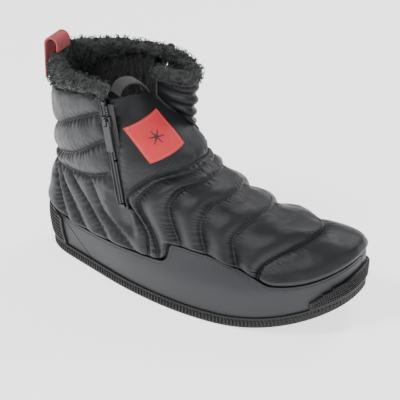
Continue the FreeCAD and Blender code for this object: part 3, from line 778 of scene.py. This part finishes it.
# %% Gusset
def gusset_at(s, z, h):
    """Round the front of the shaft: s 0 at the medial zip, 1 beside the tongue."""
    def at(s, z):
        g0 = beside_zip(z, 1, ZIP_EDGE, True)
        g1 = curve([(120, .30), (134, .20), (160, .16), (190, .16)], z)
        u = np.clip((s - .6) / .4, 0, 1)[..., None]
        one = surface(g0 + (g1 - g0) * np.minimum(s, .6) / .6, z, True)
        a, b = surface(g1, z, True), surface(g1 - .10, z, True)
        c = surface(curve(TONGUE_MED, np.minimum(z, 166)) + .012, np.minimum(z, 166))
        c = np.stack([c[..., 0], c[..., 1], z], -1)
        return np.where(s[..., None] < .6, one,
                        a * (1 - u)**2 + b * 2 * u * (1 - u) + c * u * u)
    p = at(s, z)
    n = np.cross(at(np.minimum(1, s + .01), z) - at(np.maximum(0, s - .01), z),
                 at(s, z + 1) - at(s, z - 1))
    p = p - unit(n) * np.asarray(h)[..., None]
    # At its foot the gusset flares out under the instep cloth.
    ga = beside_zip(z, 1, ZIP_EDGE)
    gg = ga + (curve(TONGUE_MED, z) - ga) * np.clip(s, 0, 1)
    w = smooth((134 - z) / 9)[..., None]
    return p * (1 - w) + place(gg, z, np.minimum(h, .4) - .4) * w


# %% Gusset mesh
s, v = grid(110, 76)
z = 123 + (182.5 - 123) * v
p = gusset_at(s, z, np.zeros_like(z))
fan = np.sin(2 * np.pi * (z - 118 - 26 * s**1.5) / (8 + 7 * (1 - s)) + 1.1 * np.sin(z / 11))
rim = np.minimum(np.minimum(s * 130, (1 - s) * 60), (182.5 - z) * .9 + .1)
h = (.8 + 1.5 * fan + .5 * ripple(p, 14, 41)) * (1 - np.exp(-(rim / 5)**1.5)) - .4
gusset = thick_grid("gusset_cloth", gusset_at(s, z, h), gusset_at(s, z, h - 2.6), SHELL)
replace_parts(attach(gusset, "front_flap"), "gusset_medial")

# %% Instep cloth
# The cloth between the seam, the fold and the medial zip.
MR = .565
RZ2 = float(arch_at("seam", np.array([MR]))[1][0])


def inner_right(v):
    z = RZ2 + (FLAP_FOOT - RZ2) * v
    return beside_zip(z, 1, ZIP_EDGE), z


def inner_low(u):
    g, z = low_arch(TR, MR, u)
    end = inner_right(np.zeros(1))[0][0] - arch_at("seam", np.array([MR]))[0][0]
    return g + end * np.maximum(0, u * 8 - 7)**2, z


def inner_top(u):
    a, b = curve(TONGUE_MED, FLAP_FOOT) - .004, inner_right(np.ones(1))[0][0]
    return a + (b - a) * u, FLAP_FOOT + 0 * u


def inner_left(v):
    z = RZ + (FLAP_FOOT - RZ) * v
    return curve(TONGUE_MED, z) - .004, z


g, z = coons(inner_left, inner_right, inner_low, inner_top, 84, 44)
p = surface(g, z)
db = np.maximum(0, z - seam_z(g)) * .9
dr = np.linalg.norm(p - surface(beside_zip(z, 1, ZIP_EDGE), z), axis=-1)
h = 4.0 * (1 - np.exp(-db / 5)) * (1 - np.exp(-dr / 5)) * (.2 + .8 * smooth((FLAP_FOOT - z) / 7)) \
    + .6 - 1.5 * np.exp(-(db / 1.7)**2) \
    + puckers(db, g * 430, 4.5, .45, 4.6) + .4 * ripple(p, 18, 44)
side_cloth = shell("instep_cloth_medial", g, z, h, SHELL)
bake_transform(side_cloth, "boot", "front_flap", (FOLD_X, 0, .1195), (FOLD_X, 0, .1335))
print("tongue and gusset done")

# %% [markdown]
# ## Pile
# The lining and the cuff are curly fleece. Hair would look right but isn't a mesh that can
# be kept. The lining, seen only from above, is a bumpy surface, and the cuff is a fat roll
# that gets curled tufts from Geometry Nodes.

# %% Lining
def curls(p, seed, big=1.3, small=.55):
    return big * ripple(p, 6.5, seed) * .6 + small * ripple(p, 2.8, seed + 1)


def around(s, z):
    """g from the lateral zip round the heel to the medial zip."""
    a, b = beside_zip(z, -1, -6.5, True), beside_zip(z, 1, -6.5, True)
    g = a - (2 - b + a) * s
    return np.where(g < -1, g + 2, g)


def pile_depth(z):
    """Behind the rand the lining lies deeper, because the stiffeners are there too."""
    return 10.0 + (4.8 - 10.0) * smooth((z - 72) / 16)


s, v = grid(200, 84)
z = 17 + (quarter_top(around(s, 17 + (168 - 17) * v)) + 4 - 17) * v
g = around(s, z)
p = surface(g, z, True)
d0 = pile_depth(z)
lining = thick_grid("lining_rear", place(g, z, -d0, True),
                    place(g, z, -d0 - 3.6 - curls(p, 51), True), PILE)
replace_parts(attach(lining, "boot"), "quarter_pile_lateral", "quarter_pile_medial")

c, v = grid(130, 70, (-1, 0), (1, 1))
z = 18 + (124.5 - 18) * v
edge = np.where(c < 0, -beside_zip(z, -1, 1.0), beside_zip(z, 1, 1.0))
g = c * edge
p = surface(g, z)
d0 = 4.8 + 5.2 * (1 - smooth((z - 72) / 16))
front_pile = thick_grid("lining_front", place(g, z, -d0), place(g, z, -d0 - 3.6 - curls(p, 54)),
                        PILE)
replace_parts(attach(front_pile, "boot"), "vamp_pile", "toe_pile", "instep_pile")

u, v = grid(60, 44)
z = FLAP_FOOT + (curve([(0, 174), (.5, 171), (1, 165)], u) - FLAP_FOOT) * v
ga = tongue_lat(z) + .02
g = ga + (curve(TONGUE_MED, z) - .07 - ga) * u
p = surface(g, z)
flap_pile = thick_grid("lining_tongue", place(g, z, -4.6),
                       place(g, z, -7.9 - curls(p, 57, .9)), PILE)
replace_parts(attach(flap_pile, "front_flap"), "tongue_pile")

s, v = grid(60, 50, (.02, 0), (.56, 1))
z = FLAP_FOOT + 54.5 * v
p = gusset_at(s, z, np.zeros_like(z))
gusset_pile = thick_grid("lining_gusset", gusset_at(s, z, -3.4),
                         gusset_at(s, z, -5.8 - curls(p, 60, .8, .4)), PILE)
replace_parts(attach(gusset_pile, "front_flap"), "gusset_pile")

u, v = grid(130, 46, (0, -1), (1, 1))
zb = 21.5
gx = np.linspace(0, 1, 130)
inner_l, inner_m = place(-gx, zb, -10.6), place(gx, zb, -10.6)
mid = (inner_l + inner_m) / 2
half = (inner_m - inner_l) / 2
base = mid[:, None, :] + half[:, None, :] * v[..., None]
lift = np.stack([0 * u, 0 * u, np.ones_like(u)], -1)
bed = thick_grid("footbed_pile", base + lift * (3.6 + .6 * curls(base, 63))[..., None],
                 base - lift * .2, PILE)
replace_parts(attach(bed, "boot"), "footbed")
print("lining done")

# %% Cuff
RING = [float(beside_zip(175.0, k, d, True)) for k, d in ((-1, -.6), (1, 2.8))]


def ring_g(s):
    g = RING[0] - (2 + RING[0] - RING[1]) * s
    return np.where(g < -1, g + 2, g)


def beside_tab(s):
    """1 where the heel tab passes over the cuff."""
    return np.exp(-(surface(ring_g(s), 180.0, True)[..., 1] / 13)**4) \
        * (surface(ring_g(s), 180.0, True)[..., 0] < -120)


def cuff_ring(s, a, around_at, low, high, out, deep, seed):
    """Points of a fat roll: a goes round its cross-section."""
    zc, zh = (low + high) / 2, (high - low) / 2
    dc, dh = (deep - out) / 2, (deep + out) / 2
    ca, sa = np.cos(a), np.sin(a)
    z = zc + zh * np.sign(sa) * np.abs(sa)**.8
    d = dc - dh * np.sign(ca) * np.abs(ca)**.8
    p = around_at(s, z, -d)
    q = around_at(s, zc + (z - zc) * 1.06, -dc - (d - dc) * 1.12)
    return p + unit(q - p) * (1.0 * ripple(p, 9, seed) + .6 * ripple(p, 3.6, seed + 1))[..., None]


def cuff_mesh(name, around_at, low_of, high_of, out, deep, seed, ns, na):
    s, a = np.meshgrid(np.linspace(0, 1, ns), np.linspace(0, 2 * np.pi, na, endpoint=False),
                       indexing="ij")
    rings = cuff_ring(s, a, around_at, low_of(s), high_of(s), out(s), deep, seed)
    return ring_mesh(name, rings, FUR)


def rear_at(s, z, h):
    return place(ring_g(s), z, h, True)


def rear_low(s):
    return quarter_top(ring_g(s)) - 1.0


cuff = cuff_mesh("cuff_fur_rear", rear_at, rear_low,
                 lambda s: 194 - 4 * np.sin(np.pi * s) - 2.2 * beside_tab(s),
                 lambda s: 3.2 - 4.6 * beside_tab(s), 10.5, 71, 200, 44)
front = cuff_mesh("cuff_fur_front", lambda s, z, h: gusset_at(s * 1.02 - .02, z, h),
                  lambda s: 180.5 + 0 * s, lambda s: 194.5 - 3 * s, lambda s: 2.6 + 0 * s,
                  8.5, 73, 110, 36)
print("cuff done")

# %% [markdown]
# ## What repeats
# Tufts, stitches, teeth, ribs and studs are one small piece set many times. A loop that adds
# objects would be slow. Two Geometry Nodes trees do it: one scatters a piece over a surface,
# and the other sets it on points that carry their own directions. Both make the copies real,
# because instances are lost when the piece is kept as a plain mesh.

# %% Node tools
def small(name, verts, faces, mat, smooth_shade=True):
    ob = mesh_object(name, verts, faces, mat, smooth_shade)
    ob.hide_render = ob.hide_viewport = True
    bpy.context.scene.collection.objects.unlink(ob)
    return ob


def curl_piece(turn, size, thick, mat, name):
    """A short curled lock."""
    verts, faces, n, m = [], [], 6, 4
    for i in range(n):
        a = turn * i / (n - 1)
        c = Vector((size * math.sin(a), .25 * size * math.sin(2 * a), size * (1 - math.cos(a))))
        side = Vector((math.cos(a), 0, math.sin(a)))
        up = side.cross(Vector((0, 1, 0)))
        r = thick * (1 - .55 * i / (n - 1))
        for k in range(m):
            w = 2 * math.pi * k / m
            verts.append(c + (Vector((0, 1, 0)) * math.cos(w) + up * math.sin(w)) * r)
    for i in range(n - 1):
        for k in range(m):
            a, b = i * m + k, i * m + (k + 1) % m
            faces.append((a, b, b + m, a + m))
    faces.append(tuple(range(m))[::-1])
    faces.append(tuple(range((n - 1) * m, n * m)))
    return small(name, verts, faces, mat)


def block(name, sx, sy, sz, mat, taper=1.0):
    x, y, z = sx / 2, sy / 2, sz / 2
    v = [(-x, -y, -z), (x, -y, -z), (x, y, -z), (-x, y, -z)]
    v += [(a * taper, b * taper, z) for a, b, _ in v]
    f = [(3, 2, 1, 0), (4, 5, 6, 7), (0, 1, 5, 4), (1, 2, 6, 5), (2, 3, 7, 6), (3, 0, 4, 7)]
    return small(name, v, f, mat, False)


def capsule(name, length, radius, mat):
    verts, faces, n = [], [], 6
    for x, r in ((-.5, .35), (-.4, .85), (0, 1.0), (.4, .85), (.5, .35)):
        for k in range(n):
            w = 2 * math.pi * k / n
            verts.append((x * length, math.cos(w) * radius * r, math.sin(w) * radius * r))
    for i in range(4):
        for k in range(n):
            a, b = i * n + k, i * n + (k + 1) % n
            faces.append((a, a + n, b + n, b))
    faces += [tuple(range(n)), tuple(range(4 * n, 5 * n))[::-1]]
    return small(name, verts, faces, mat)


# %% Trees
def socket(tree, name, kind, direction="INPUT", default=None):
    s = tree.interface.new_socket(name=name, in_out=direction, socket_type=kind)
    if default is not None:
        s.default_value = default
    return s.identifier


def wire(tree, *pairs):
    for a, b in pairs:
        tree.links.new(a, b)


def start_tree(name, piece, sizes):
    """A tree that sets a piece on points, makes it real and gives it its material."""
    t = bpy.data.node_groups.new(name, "GeometryNodeTree")
    rows = [("geo", "Geometry", "Geometry", None), ("piece", piece, "Object", None)]
    rows += [(key, label, "Float", value) for key, label, value in sizes]
    rows += [("seed", "Seed", "Int", 1), ("mat", "Material", "Material", None)]
    ids = {key: socket(t, label, "NodeSocket" + kind, default=value)
           for key, label, kind, value in rows}
    socket(t, "Geometry", "NodeSocketGeometry", "OUTPUT")
    i, o, info, inst, real, paint = [t.nodes.new(kind) for kind in (
        "NodeGroupInput", "NodeGroupOutput", "GeometryNodeObjectInfo",
        "GeometryNodeInstanceOnPoints", "GeometryNodeRealizeInstances",
        "GeometryNodeSetMaterial")]
    wire(t, (i.outputs[piece], info.inputs["Object"]),
         (info.outputs["Geometry"], inst.inputs["Instance"]),
         (inst.outputs["Instances"], real.inputs["Geometry"]),
         (real.outputs["Geometry"], paint.inputs["Geometry"]),
         (i.outputs["Material"], paint.inputs["Material"]),
         (paint.outputs["Geometry"], o.inputs["Geometry"]))
    return t, ids, i, inst


def scatter_tree():
    """Tufts spread over a surface, each turned and sized at random."""
    t, ids, i, inst = start_tree("scatter_tufts", "Tuft", [
        ("density", "Density", 1e5), ("smallest", "Smallest", .7), ("largest", "Largest", 1.3)])
    spread, turn, size, spin = [t.nodes.new(kind) for kind in (
        "GeometryNodeDistributePointsOnFaces", "FunctionNodeRandomValue",
        "FunctionNodeRandomValue", "FunctionNodeRotateRotation")]
    turn.data_type = "FLOAT_VECTOR"
    turn.inputs["Min"].default_value = (-.7, -.7, 0)
    turn.inputs["Max"].default_value = (.7, .7, 6.283)
    spin.rotation_space = "LOCAL"
    wire(t, (i.outputs["Geometry"], spread.inputs["Mesh"]),
         (i.outputs["Density"], spread.inputs["Density"]),
         (i.outputs["Seed"], spread.inputs["Seed"]),
         (spread.outputs["Points"], inst.inputs["Points"]),
         (spread.outputs["Rotation"], spin.inputs["Rotation"]),
         (turn.outputs["Value"], spin.inputs["Rotate By"]),
         (spin.outputs["Rotation"], inst.inputs["Rotation"]),
         (i.outputs["Seed"], turn.inputs["Seed"]), (i.outputs["Seed"], size.inputs["Seed"]),
         (i.outputs["Smallest"], size.inputs[2]), (i.outputs["Largest"], size.inputs[3]),
         (size.outputs[1], inst.inputs["Scale"]))
    return t, ids


def row_tree():
    """Pieces on mesh vertices, turned by the vectors stored with them."""
    t, ids, i, inst = start_tree("set_in_rows", "Piece", [
        ("size", "Size", 1.0), ("jitter", "Size change", .06)])
    pts, along, out, a, b, size, less, more = [t.nodes.new(kind) for kind in (
        "GeometryNodeMeshToPoints", "GeometryNodeInputNamedAttribute",
        "GeometryNodeInputNamedAttribute", "FunctionNodeAlignRotationToVector",
        "FunctionNodeAlignRotationToVector", "FunctionNodeRandomValue", "ShaderNodeMath",
        "ShaderNodeMath")]
    along.data_type = out.data_type = "FLOAT_VECTOR"
    along.inputs["Name"].default_value, out.inputs["Name"].default_value = "along", "out"
    a.axis, b.axis, b.pivot_axis = "X", "Z", "X"
    less.operation, more.operation = "SUBTRACT", "ADD"
    wire(t, (i.outputs["Geometry"], pts.inputs["Mesh"]),
         (pts.outputs["Points"], inst.inputs["Points"]),
         (along.outputs["Attribute"], a.inputs["Vector"]),
         (a.outputs["Rotation"], b.inputs["Rotation"]),
         (out.outputs["Attribute"], b.inputs["Vector"]),
         (b.outputs["Rotation"], inst.inputs["Rotation"]),
         (i.outputs["Seed"], size.inputs["Seed"]), (size.outputs[1], inst.inputs["Scale"]))
    for node, k in ((less, 2), (more, 3)):
        wire(t, (i.outputs["Size"], node.inputs[0]), (i.outputs["Size change"], node.inputs[1]),
             (node.outputs["Value"], size.inputs[k]))
    return t, ids


SCATTER, ROWS = scatter_tree(), row_tree()


# %% Running a tree
def run_tree(source, tree_ids, name, **values):
    """Run a tree on an object and keep the result as a plain mesh."""
    tree, ids = tree_ids
    mod = source.modifiers.new("made", "NODES")
    mod.node_group = tree
    for key, value in values.items():
        mod[ids[key]] = value
    bpy.context.view_layer.update()
    graph = bpy.context.evaluated_depsgraph_get()
    me = bpy.data.meshes.new_from_object(source.evaluated_get(graph), depsgraph=graph)
    source.modifiers.remove(mod)
    me.name = name
    ob = bpy.data.objects.new(name, me)
    bpy.context.scene.collection.objects.link(ob)
    for layer in [a.name for a in me.attributes if a.name in ("along", "out")]:
        me.attributes.remove(me.attributes[layer])
    return ob


def rows_of(name, points, along, out, piece, mat, body, size=1.0, jitter=.05, seed=1):
    """Pieces at points (millimetres), x along the row and z outwards."""
    me = bpy.data.meshes.new(name + "_points")
    me.from_pydata([tuple(v) for v in metres(np.asarray(points))], [], [])
    for key, vec in (("along", along), ("out", out)):
        layer = me.attributes.new(key, "FLOAT_VECTOR", "POINT")
        vec = np.broadcast_to(np.asarray(vec, np.float32), (len(points), 3))
        layer.data.foreach_set("vector", vec.ravel())
    src = bpy.data.objects.new(name + "_points", me)
    bpy.context.scene.collection.objects.link(src)
    ob = run_tree(src, ROWS, name, piece=piece, size=size, jitter=jitter, seed=seed, mat=mat)
    bpy.data.objects.remove(src)
    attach(ob, body)
    print(name, len(points), "pieces,", len(ob.data.polygons), "faces")
    return ob


def walk(line, pitch):
    """Points at equal steps along a polyline, with directions."""
    line = np.asarray(line)
    run = run_length(line)
    at = np.arange(pitch / 2, run[-1], pitch)
    p, q, r = [np.stack([np.interp(at + d, run, line[:, k]) for k in range(3)], 1)
               for d in (0, .4, -.4)]
    return p, unit(q - r)


print("trees", [group.name for group in bpy.data.node_groups])

# %% Fur tufts
LOCK = curl_piece(3.6, .00135, .00042, FUR, "lock")
for source, name, body, replaced, seed in (
        (cuff, "cuff_tufts_rear", "boot", "cuff_rear", 4),
        (front, "cuff_tufts_front", "front_flap", "cuff_front", 9)):
    tufts = run_tree(source, SCATTER, name, piece=LOCK, density=150000.0, smallest=.6,
                     largest=1.35, seed=seed, mat=FUR)
    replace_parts(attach(source, body), replaced)
    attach(tufts, body)
    print(name, len(tufts.data.polygons), "faces")

# %% Zips
def zip_axes(side):
    z = np.array([176.0, 86.0])
    top, low = surface(beside_zip(z, side, 0, True), z, True)
    down = unit(low - top)
    g = beside_zip(131.0, side, 0, True)
    out = np.cross(surface(g + .01, 131.0, True) - surface(g - .01, 131.0, True), [0, 0, 1])
    out = unit(out - down * (out @ down))
    return top, np.cross(out, down), out, down, np.linalg.norm(low - top)


TOOTH = block("tooth", 1.15e-3, 2.2e-3, 1.9e-3, TEETH, .72)
STITCH = capsule("stitch", 2.1e-3, .5e-3, THREAD)
FINE = capsule("fine_stitch", 1.7e-3, .34e-3, THREAD)
for side, word in ((-1, "lateral"), (1, "medial")):
    top, across, out, down, length = zip_axes(side)
    fold = (top[2] - 126.3) / -down[2]
    fore = -side
    for part, body, k, d0, d1 in (("rear", "boot", -1, 0, length),
                                  ("front_upper", "front_flap", 1, 0, fold - .5),
                                  ("front_lower", "boot", 1, fold + .5, length)):
        d = np.arange(d0 + .8, d1 - .5, 1.75) + (.85 if k > 0 else 0)
        d = d[d < d1 - .5]
        pts = top + np.outer(d, down) + across * fore * k * 1.2 + out * -.15
        teeth = rows_of(f"zip_teeth_{part}_{word}_made", pts, down, out, TOOTH, TEETH, body,
                        1.0, .03, 3)
        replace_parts(teeth, f"zip_teeth_{part}_{word}")
        edge = top + np.outer(np.arange(d0 + 1, d1 - 1, 2.4), down) + across * fore * k * 2.95 \
            + out * -1.28
        rows_of(f"zip_tape_stitch_{part}_{word}", edge, down, out, FINE, THREAD, body, .6, .03,
                5)

# %% [markdown]
# ## Stitches
# Thread shows in the channels, beside the rand's edge and round the patch. A bump could draw
# it, but from close by thread has a shadow, so each stitch is a small capsule on a line.

# %% Stitches
def bundle(name, lines, piece, mat, body, pitch, size=1.0, jitter=.1, seed=1):
    """lines: (points, outward directions) pairs; one object for all of them."""
    P, A, O = [], [], []
    for pts, outs in lines:
        if len(pts) < 3:
            continue
        run = run_length(pts)
        p, a = walk(pts, pitch)
        at = np.arange(pitch / 2, run[-1], pitch)
        o = np.stack([np.interp(at, run, outs[:, k]) for k in range(3)], 1)
        P.append(p)
        A.append(a)
        O.append(o)
    return rows_of(name, np.concatenate(P), np.concatenate(A), np.concatenate(O), piece, mat,
                   body, size, jitter, seed)


def seam_line(g, z, h, shaft=False, clear=1.5):
    """A line over the surface, only where it's above the rand."""
    p = surface(g, z, shaft)
    ok = z > rand_top(g) + clear
    return place(g, z, h, shaft)[ok], normal(g, z, shaft)[ok]


fine_t = np.linspace(-1, 1, 900)
lines = []
for name in ORDER:
    g, z = arch_at(name, fine_t)
    lines += [seam_line(g[half], z[half], -.75) for half in (fine_t < 0, fine_t >= 0)]
for side in (-1, 1):
    lines += [seam_line(*quilt_line(rows, side), -.55, True) for rows in QUILT]
bundle("channel_stitches", lines, STITCH, THREAD, "boot", 2.7, 1.0, .12, 7)

# %% Stitching and bead of the rand
# Stitching along the rand, just under its edge, and a raised edge bead above it.
bead, rand_lines = [], []
for side in (-1, 1):
    back = station(-118.0, 38.0, side)
    g = np.linspace(back, side * .002, 700)
    z = rand_top(g)
    rand_lines.append((place(g, z - 2.6, .12), normal(g, z - 2.6)))
    bead.append(place(g, z - .15, -.25))
g = np.concatenate([np.linspace(station(-118.0, 38.0, 1), 1, 80)[:-1],
                    np.linspace(-1, station(-118.0, 38.0, -1), 80)])
z = 38 + 5 * np.sin(np.pi * np.linspace(0, 1, len(g)))
heel_line = place(g, z - .15, -.25)
rand_lines.append((place(g, z - 2.6, .12), normal(g, z - 2.6)))
bundle("rand_stitches", rand_lines, FINE, THREAD, "boot", 2.5, .85, .08, 8)


# %% Piping
def tube(name, line, radius, mat, body, sides=8):
    d = unit(np.gradient(line, axis=0))
    up = unit(np.cross(d, np.cross(np.array([0, 0, 1.0]), d) + 1e-6))
    side = np.cross(d, up)
    w = 2 * np.pi * np.arange(sides) / sides
    ring = line[:, None] + radius * (np.cos(w)[None, :, None] * up[:, None]
                                     + np.sin(w)[None, :, None] * side[:, None])
    ob = ring_mesh(name, ring, mat)
    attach(ob, body)
    return ob


for n, line in enumerate(bead):
    tube("rand_edge_" + ("lateral", "medial")[n], line, .55, RAND, "boot")
tube("rand_edge_heel", heel_line, .55, RAND, "boot")
print("stitches done")

# %% Piping beside the zips and the gusset
for side, word in ((-1, "lateral"), (1, "medial")):
    z = np.linspace(84, 181, 130)
    g = beside_zip(z, side, -4.9, True)
    tube("quarter_binding_" + word, place(g, z, -.1, True), .7, WEB, "boot")
z = np.linspace(128, 180.5, 90)
tube("gusset_piping_zip", gusset_at(np.full_like(z, .012), z, .6), .75, WEB,
     "front_flap")
tube("gusset_piping_tongue", gusset_at(np.full_like(z, .985), z, .8), .75, WEB,
     "front_flap")
sv = np.linspace(.01, .99, 120)
tube("gusset_piping_top", gusset_at(sv, np.full_like(sv, 181.2), .5), .8, WEB,
     "front_flap")
print("piping done")

# %% Patch on the tongue
# Its corners (g, z): the top at each side, then the bottom.
CORNER = [(-.253, 153.6), (-.024, 158.3), (-.223, 127.8), (-.025, 136.0)]

def patch_at(s, t):
    (a, b, c, d) = CORNER
    return [(a[k] * (1 - t) + b[k] * t) * (1 - s) + (c[k] * (1 - t) + d[k] * t) * s
            for k in (0, 1)]


def patch_point(s, t, lift):
    g, z = patch_at(s, t)
    return place(g, z, tongue_height(g, z) + lift)


s, t_ = grid(60, 60)
rim = np.minimum(np.minimum(s, 1 - s), np.minimum(t_, 1 - t_)) * 30
lift = .75 - .35 * np.exp(-(rim / .8)**2) - .18 * np.exp(-((rim - 1.6) / .5)**2)
patch = thick_grid("patch_cloth", patch_point(s, t_, lift), patch_point(s, t_, -.3 + 0 * s),
                   PATCH)
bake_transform(patch, "boot", "front_flap", *FOLD)
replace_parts(patch, "tongue_patch")

# %% Mark and border of the patch
# A plain mark on the patch: three crossing bars.
marks_v, marks_f = [], []
for turn in (0, 60, 120):
    a = math.radians(turn + 12)
    du, dv = math.cos(a) * .19, math.sin(a) * .19
    pu, pv = -math.sin(a) * .022, math.cos(a) * .022
    k = np.linspace(-1, 1, 15)
    base = len(marks_v)
    for q in k:
        wide = 1 - .6 * abs(q)
        for sgn in (-1, 1):
            marks_v.append(patch_point(np.array(.5 + du * q + pu * sgn * wide),
                                       np.array(.5 + dv * q + pv * sgn * wide),
                                       np.array(.83 + .004 * turn / 60)))
    for q in range(14):
        i = base + 2 * q
        marks_f.append((i, i + 2, i + 3, i + 1))
mv = np.array(marks_v)
mf = outward(metres(mv), np.array(marks_f), np.tile(normal(-.13, 144.0), (len(mv), 1)))
mark = mesh_object("patch_mark", metres(mv), mf, INK)
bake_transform(mark, "boot", "front_flap", *FOLD)

border = []
for a, b in (((.05, .05), (.05, .95)), ((.05, .95), (.95, .95)), ((.95, .95), (.95, .05)),
             ((.95, .05), (.05, .05))):
    k = np.linspace(0, 1, 40)
    s, t_ = a[0] + (b[0] - a[0]) * k, a[1] + (b[1] - a[1]) * k
    border.append((patch_point(s, t_, .62 + 0 * k), normal(*patch_at(s, t_))))
bundle("patch_stitches", border, FINE, PALE_THREAD, "front_flap", 2.1, .8, .08, 12)
print("patch done")

# %% [markdown]
# ## Sole
# Fine ribs stand round the edge of the sole, studs cover the toe bumper, short blocks ring
# the heel and lugs make the tread. Each is a tapered block set along the surface, which keeps
# the rubber's edges crisp where a bump would blur them.

# %% Ribs and studs
RIB = block("rib", 1.9e-3, 7.6e-3, 3.4e-3, SOLE, .6)
g = np.concatenate([np.linspace(0, 1, 1500)[:-1], np.linspace(-1, 0, 1500)])
edge = place(g, 4.6, 1.5)
pts, along = walk(edge, 3.3)
out = unit(np.cross(along, [0, 0, 1.0]))
if (out * (pts - pts.mean(0))).sum() < 0:
    out = -out
rows_of("sole_edge_ribs", pts + out * .5, along, out, RIB, SOLE, "boot", 1.0, .05, 14)

STUD = block("stud", 1.7e-3, 1.7e-3, 1.5e-3, BUMPER, .5)
P, A, O = [], [], []
for n, z0 in enumerate(np.arange(11.5, 24.5, 2.2)):
    reach = .158 * math.sqrt(max(0.0, 1 - ((z0 - 11) / 15)**2.2))
    g = np.arange(-reach, reach - .008, .0057) + (.0028 if n % 2 else 0)
    P.append(place(g, z0, 2.7))
    O.append(normal(g, z0))
    A.append(unit(surface(g + .004, z0) - surface(g - .004, z0)))
rows_of("toe_studs", np.concatenate(P), np.concatenate(A), np.concatenate(O), STUD, BUMPER,
        "boot", 1.0, .05, 15)
P, A, O = [], [], []
for z0 in np.arange(13, 44, 3.4):
    reach = .088 if z0 < 36 else .088 * max(.15, 1 - (z0 - 36) / 12)
    for q in np.linspace(-reach, reach, 26):
        gg = 1 - abs(q) if q < 0 else -1 + q
        P.append(place(gg, z0, 2.3))
        O.append(normal(gg, z0))
        A.append(unit(surface(gg + .004, z0) - surface(gg - .004, z0)))
SHORT = block("heel_block", 2.2e-3, 1.7e-3, 1.3e-3, BUMPER, .8)
rows_of("heel_ribs", np.array(P), np.array(A), np.array(O), SHORT, BUMPER, "boot", 1.0, .03, 16)

# %% Tread
# Rows of low lugs under the sole.
LUG = block("lug", 8e-3, 5e-3, 1.0e-3, SOLE, .85)
P = []
for x in np.arange(-132, 40, 11):
    for k in np.linspace(-.78, .78, 7):
        a, b = (surface(station(float(x), 2.0, q), 2.0) for q in (-1, 1))
        P.append([x, a[1] + (b[1] - a[1]) * (k + 1) / 2, spring(np.array(float(x))) + .35])
rows_of("sole_lugs", np.array(P), (0, 1, 0), (0, 0, -1), LUG, SOLE, "boot", 1.0, .02, 17)
print("sole done")

# %% [markdown]
# ## Stage, light and camera
# A pale floor, three soft round lamps and a long lens. A long lens keeps the boot's
# proportions, and large lamps keep the shadows under it soft.

# %% Stage
bpy.ops.mesh.primitive_plane_add(size=6, location=(0, 0, -.0004))
floor = bpy.context.object
floor.name = "floor"
FLOOR, t, b = material("floor_white", (.9, .9, .91), .9, spec=.1)
b.inputs["Emission Color"].default_value = (1, 1, 1, 1)
b.inputs["Emission Strength"].default_value = 1.7
floor.data.materials.append(FLOOR)
world = bpy.data.worlds.new("studio")
world.use_nodes = True
world.node_tree.nodes["Background"].inputs["Color"].default_value = (1, 1, 1, 1)
world.node_tree.nodes["Background"].inputs["Strength"].default_value = .34
bpy.context.scene.world = world


def area(name, at, aim, size, power):
    lamp = bpy.data.lights.new(name, "AREA")
    lamp.shape, lamp.size, lamp.energy = "DISK", size, power
    ob = bpy.data.objects.new(name, lamp)
    bpy.context.scene.collection.objects.link(ob)
    ob.location = at
    ob.rotation_euler = (Vector(aim) - Vector(at)).to_track_quat("-Z", "Y").to_euler()
    return ob


area("key", (-.55, -.75, 1.35), (0, 0, .08), .55, 17)
area("fill", (1.3, -.5, .8), (0, 0, .08), .9, 5)
area("back", (.3, 1.1, 1.2), (0, 0, .08), .7, 11)
print("lights", len(bpy.data.lights))

# %% Camera
AZ, EL, FAR = math.radians(28.5), math.radians(29.5), 1.6
AIM = Vector((.004, -.004, .083))
towards = Vector((math.sin(AZ) * math.cos(EL), -math.cos(AZ) * math.cos(EL), math.sin(EL)))
cam = bpy.data.objects.new("camera", bpy.data.cameras.new("camera"))
bpy.context.scene.collection.objects.link(cam)
cam.location = AIM + towards * FAR
cam.rotation_euler = (-towards).to_track_quat("-Z", "Y").to_euler()
cam.data.lens, cam.data.sensor_width = 168, 36
bpy.context.scene.camera = cam
print("camera at", [round(v, 3) for v in cam.location])
